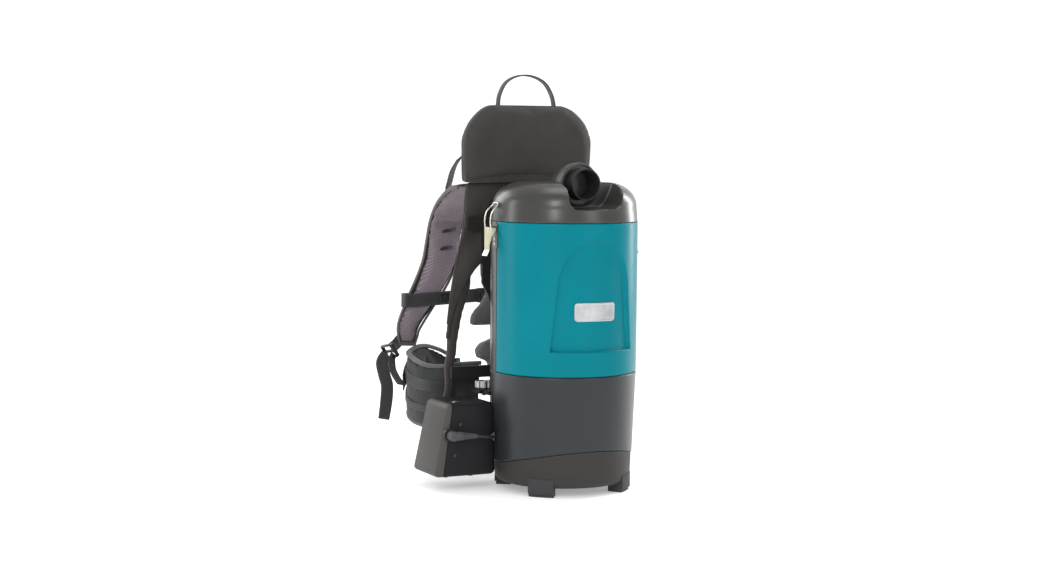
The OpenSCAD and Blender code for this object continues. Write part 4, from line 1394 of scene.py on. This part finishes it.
def side_buckle(name, lo, hi, material):
    """Side-release buckle: a hollow half with two sprung prongs showing at its sides."""
    x0, y0, z0 = lo
    x1, y1, z1 = hi
    middle = x0 + (x1 - x0) * 0.55
    zc = (z0 + z1) / 2
    female = block("female", (x0, y0, z0 + 1), (middle, y1, z1 - 1), material, 3.0, 4)
    for z in (z0 + 1, z1 - 1):
        gap = block("gap", (middle - 15, y0 + 2.2, z - 3.4), (middle - 4, y1 - 2.2, z + 3.4),
                    material, 1.2, 2)
        boolean(female, gap, "DIFFERENCE")
    parts = [female, block("male", (middle + 1.2, y0 + 1.2, z0 + 2), (x1, y1 - 1.2, z1 - 2),
                           material, 2.4, 4)]
    for s in (-1, 1):
        parts.append(block("prong", (middle - 14, y0 + 2.6, zc + s * ((z1 - z0) / 2 - 3) - 1.4),
                           (middle + 3, y1 - 2.6, zc + s * ((z1 - z0) / 2 - 3) + 1.4),
                           material, 1.0, 2))
    for x in (x0 + 4.5, x1 - 5.5):
        cut = block("slot", (x, y0 - 2, z0 + 4.5), (x + 2.4, y1 + 2, z1 - 4.5), material)
        boolean(parts[0] if x < middle else parts[1], cut, "DIFFERENCE")
    return join(name, parts)


# ---------------------------------------------------------------- build: harness
pack_cloth = cloth("pack_cloth_look", (0.042, 0.037, 0.034), pitch=1100, sheen=0.1)
head_cloth = cloth("head_cloth_look", (0.037, 0.034, 0.031), pitch=1100, sheen=0.08,
                   crinkle=0.0006)
piping_cloth = cloth("piping_look", (0.05, 0.048, 0.046), pitch=2200, sheen=0.2)
belt_cloth = cloth("belt_cloth_look", (0.026, 0.031, 0.028), pitch=1300, sheen=0.12)
binding_cloth = cloth("binding_look", (0.12, 0.125, 0.125), pitch=2400, sheen=0.2, crinkle=0.0003)
strap_mesh = spacer_mesh("strap_mesh_look", (0.2, 0.165, 0.19), tilt=45)
back_mesh = spacer_mesh("back_mesh_look", (0.085, 0.082, 0.086), tilt=90)
# Strap binding: black cloth given a lighter grey tone, a painted highlight along the strap's edges.
strap_binding_painted_highlight = cloth("strap_binding_painted_highlight_look", (0.1, 0.088, 0.096), pitch=2400, sheen=0.15, crinkle=0.0003)
web_look = webbing("webbing_look", (0.016, 0.016, 0.017))
web_plain = webbing("webbing_dark_look", (0.013, 0.013, 0.014), pitch=0.0022)
acetal = plastic("acetal_look", (0.014, 0.014, 0.015), 0.3, coat=0.15)

head_pad, piping, hem, sewn = make_head_pad(head_cloth, piping_cloth)
finish_piece(head_pad, "root", "head_fabric", "head_pad")
for piece in (piping, hem, sewn):
    finish_piece(piece, "root", "head_fabric")

finish_piece(tape("lifting_loop", HAUL_LOOP, (0, 1, 0)), "root", "webbing", "haul_loop")

finish_piece(make_back_cover(pack_cloth), "root", "pack_fabric", "back_cover")
edge_line = [(-109, 146, 498), (-112.5, 146, 482), (-115.5, 146, 440), (-118.5, 146, 415),
             (-129, 146, 366), (-138, 146, 317), (-145, 146, 262)]
edge_line = [p[:3] for p in smooth_stations([(*p, 0, 0) for p in edge_line], 8)]
both(tube_along("cover_piping_left", edge_line, 1.5, piping_cloth), "root", "pack_fabric")

column = make_columns(pack_cloth)
column_mate = mirrored(column, "column_right")
finish_piece(column, "root", "pack_fabric", "side_columns")
finish_piece(column_mate, "root", "pack_fabric")

centre = pad_from("back_pad", "centre_pad", CENTRE_PAD, 5, back_mesh, 5.0, 5.0)
quilt(centre, [(-30, 262, 462), (30, 262, 462)], 5.0, 5.0, 1)
wrinkle(centre, 1.2, 45, 9.0)
finish_piece(centre, "root", "pack_fabric", "centre_pad")

lumbar = pad_from("waist_pad", "lumbar_pad", LUMBAR_PAD, 5, back_mesh, 5.0, 6.0, 3, 3)
quilt(lumbar, [(-24, 110, 228), (24, 110, 228)], 5.0, 5.0, 1)
wrinkle(lumbar, 1.2, 40, 12.0)
finish_piece(lumbar, "root", "lumbar_mesh", "lumbar_pad")

padding, shell, binding, daisy = make_shoulder_strap(strap_mesh, pack_cloth, strap_binding_painted_highlight, web_plain)
for piece, nodes in ((padding, ("shoulder_strap_left",)), (shell, ()), (binding, ()), (daisy, ())):
    pair = both(piece, "root", "strap_mesh", *nodes)

wing, wing_edge, wing_straps, wing_seams = make_hip_wing(belt_cloth, binding_cloth, web_plain)
for piece, nodes in ((wing, ("hip_wing_left",)), (wing_edge, ()), (wing_straps, ()),
                     (wing_seams, ())):
    pair = both(piece, "root", "belt_fabric", *nodes)

both(tape("load_lifter_left", LIFTER, (0.75, 0.6, 0.3)), "root", "webbing", "load_lifters")
both(tape("chest_strap_left", CHEST_LOOP, (0, 0, 1)), "root", "webbing", "sternum_strap")
lower = join("lower_straps_left", [
    tape("run", STRAP_ANCHOR, (0.7, 0, -0.7)),
    tape("run", LOWER_STRAP, (0.7, 0.6, 0)),
    tape("run", STRAP_TAIL, (0.85, -0.5, 0.1))])
both(lower, "root", "webbing", "lower_webbing")
both(tape("belt_web_left", BELT_LOOP, (0, 0, 1)), "root", "webbing", "belt_webbing")

lo, hi = box_mm("sternum_buckle")
finish_piece(side_buckle("chest_buckle", lo, hi, acetal), "root", "buckle_plastic",
             "sternum_buckle")
lock = ladder_lock("strap_lock_left", (-186, 302, 202), turned(-28, "Y") @ turned(24, "Z"),
                   (30, 8, 26), acetal)
both(lock, "root", "buckle_plastic", "strap_hardware")
adjuster = ladder_lock("chest_adjuster_left", (-81, 291, 293.5),
                       turned(90, "X") @ turned(90, "Y"), (17, 6, 31), acetal)
both(adjuster, "root", "buckle_plastic")
finish_piece(side_buckle("belt_buckle_left", (-63, 340.5, 151), (-33, 349.5, 181), acetal), "root",
             "buckle_plastic")
finish_piece(side_buckle("belt_buckle_right", (33, 340.5, 148), (63, 351.5, 184), acetal), "root",
             "buckle_plastic")


# ---------------------------------------------------------------- floor
def make_floor():
    """Pale floor that curves up behind the object."""
    front, back, half_width, curve, top = -6000, 4200, 6000, 900, 5200
    bend = [math.radians(d) for d in range(10, 91, 10)]
    outline = [(front, 0), (back, 0)]
    outline += [(back + curve * math.sin(a), curve * (1 - math.cos(a))) for a in bend]
    outline.append((back + curve, top))
    points = [(x, y, z) for x in (-half_width, half_width) for y, z in outline]
    n = len(outline)
    faces = [(k, k + 1, n + k + 1, n + k) for k in range(n - 1)]
    s = Shader("floor_look", (0.9, 0.9, 0.9), 0.8, Specular_IOR_Level=0.1,
               Emission_Color=(1, 1, 1, 1), Emission_Strength=0.3)
    s.vary_color(s.noise(3, 3), 0.99, 1.01)
    sheet = mesh_from("floor", points, faces, s.material)
    sheet.data.transform(Matrix.Rotation(VIEW_AZIMUTH, 4, "Z"))
    return sheet


make_floor()
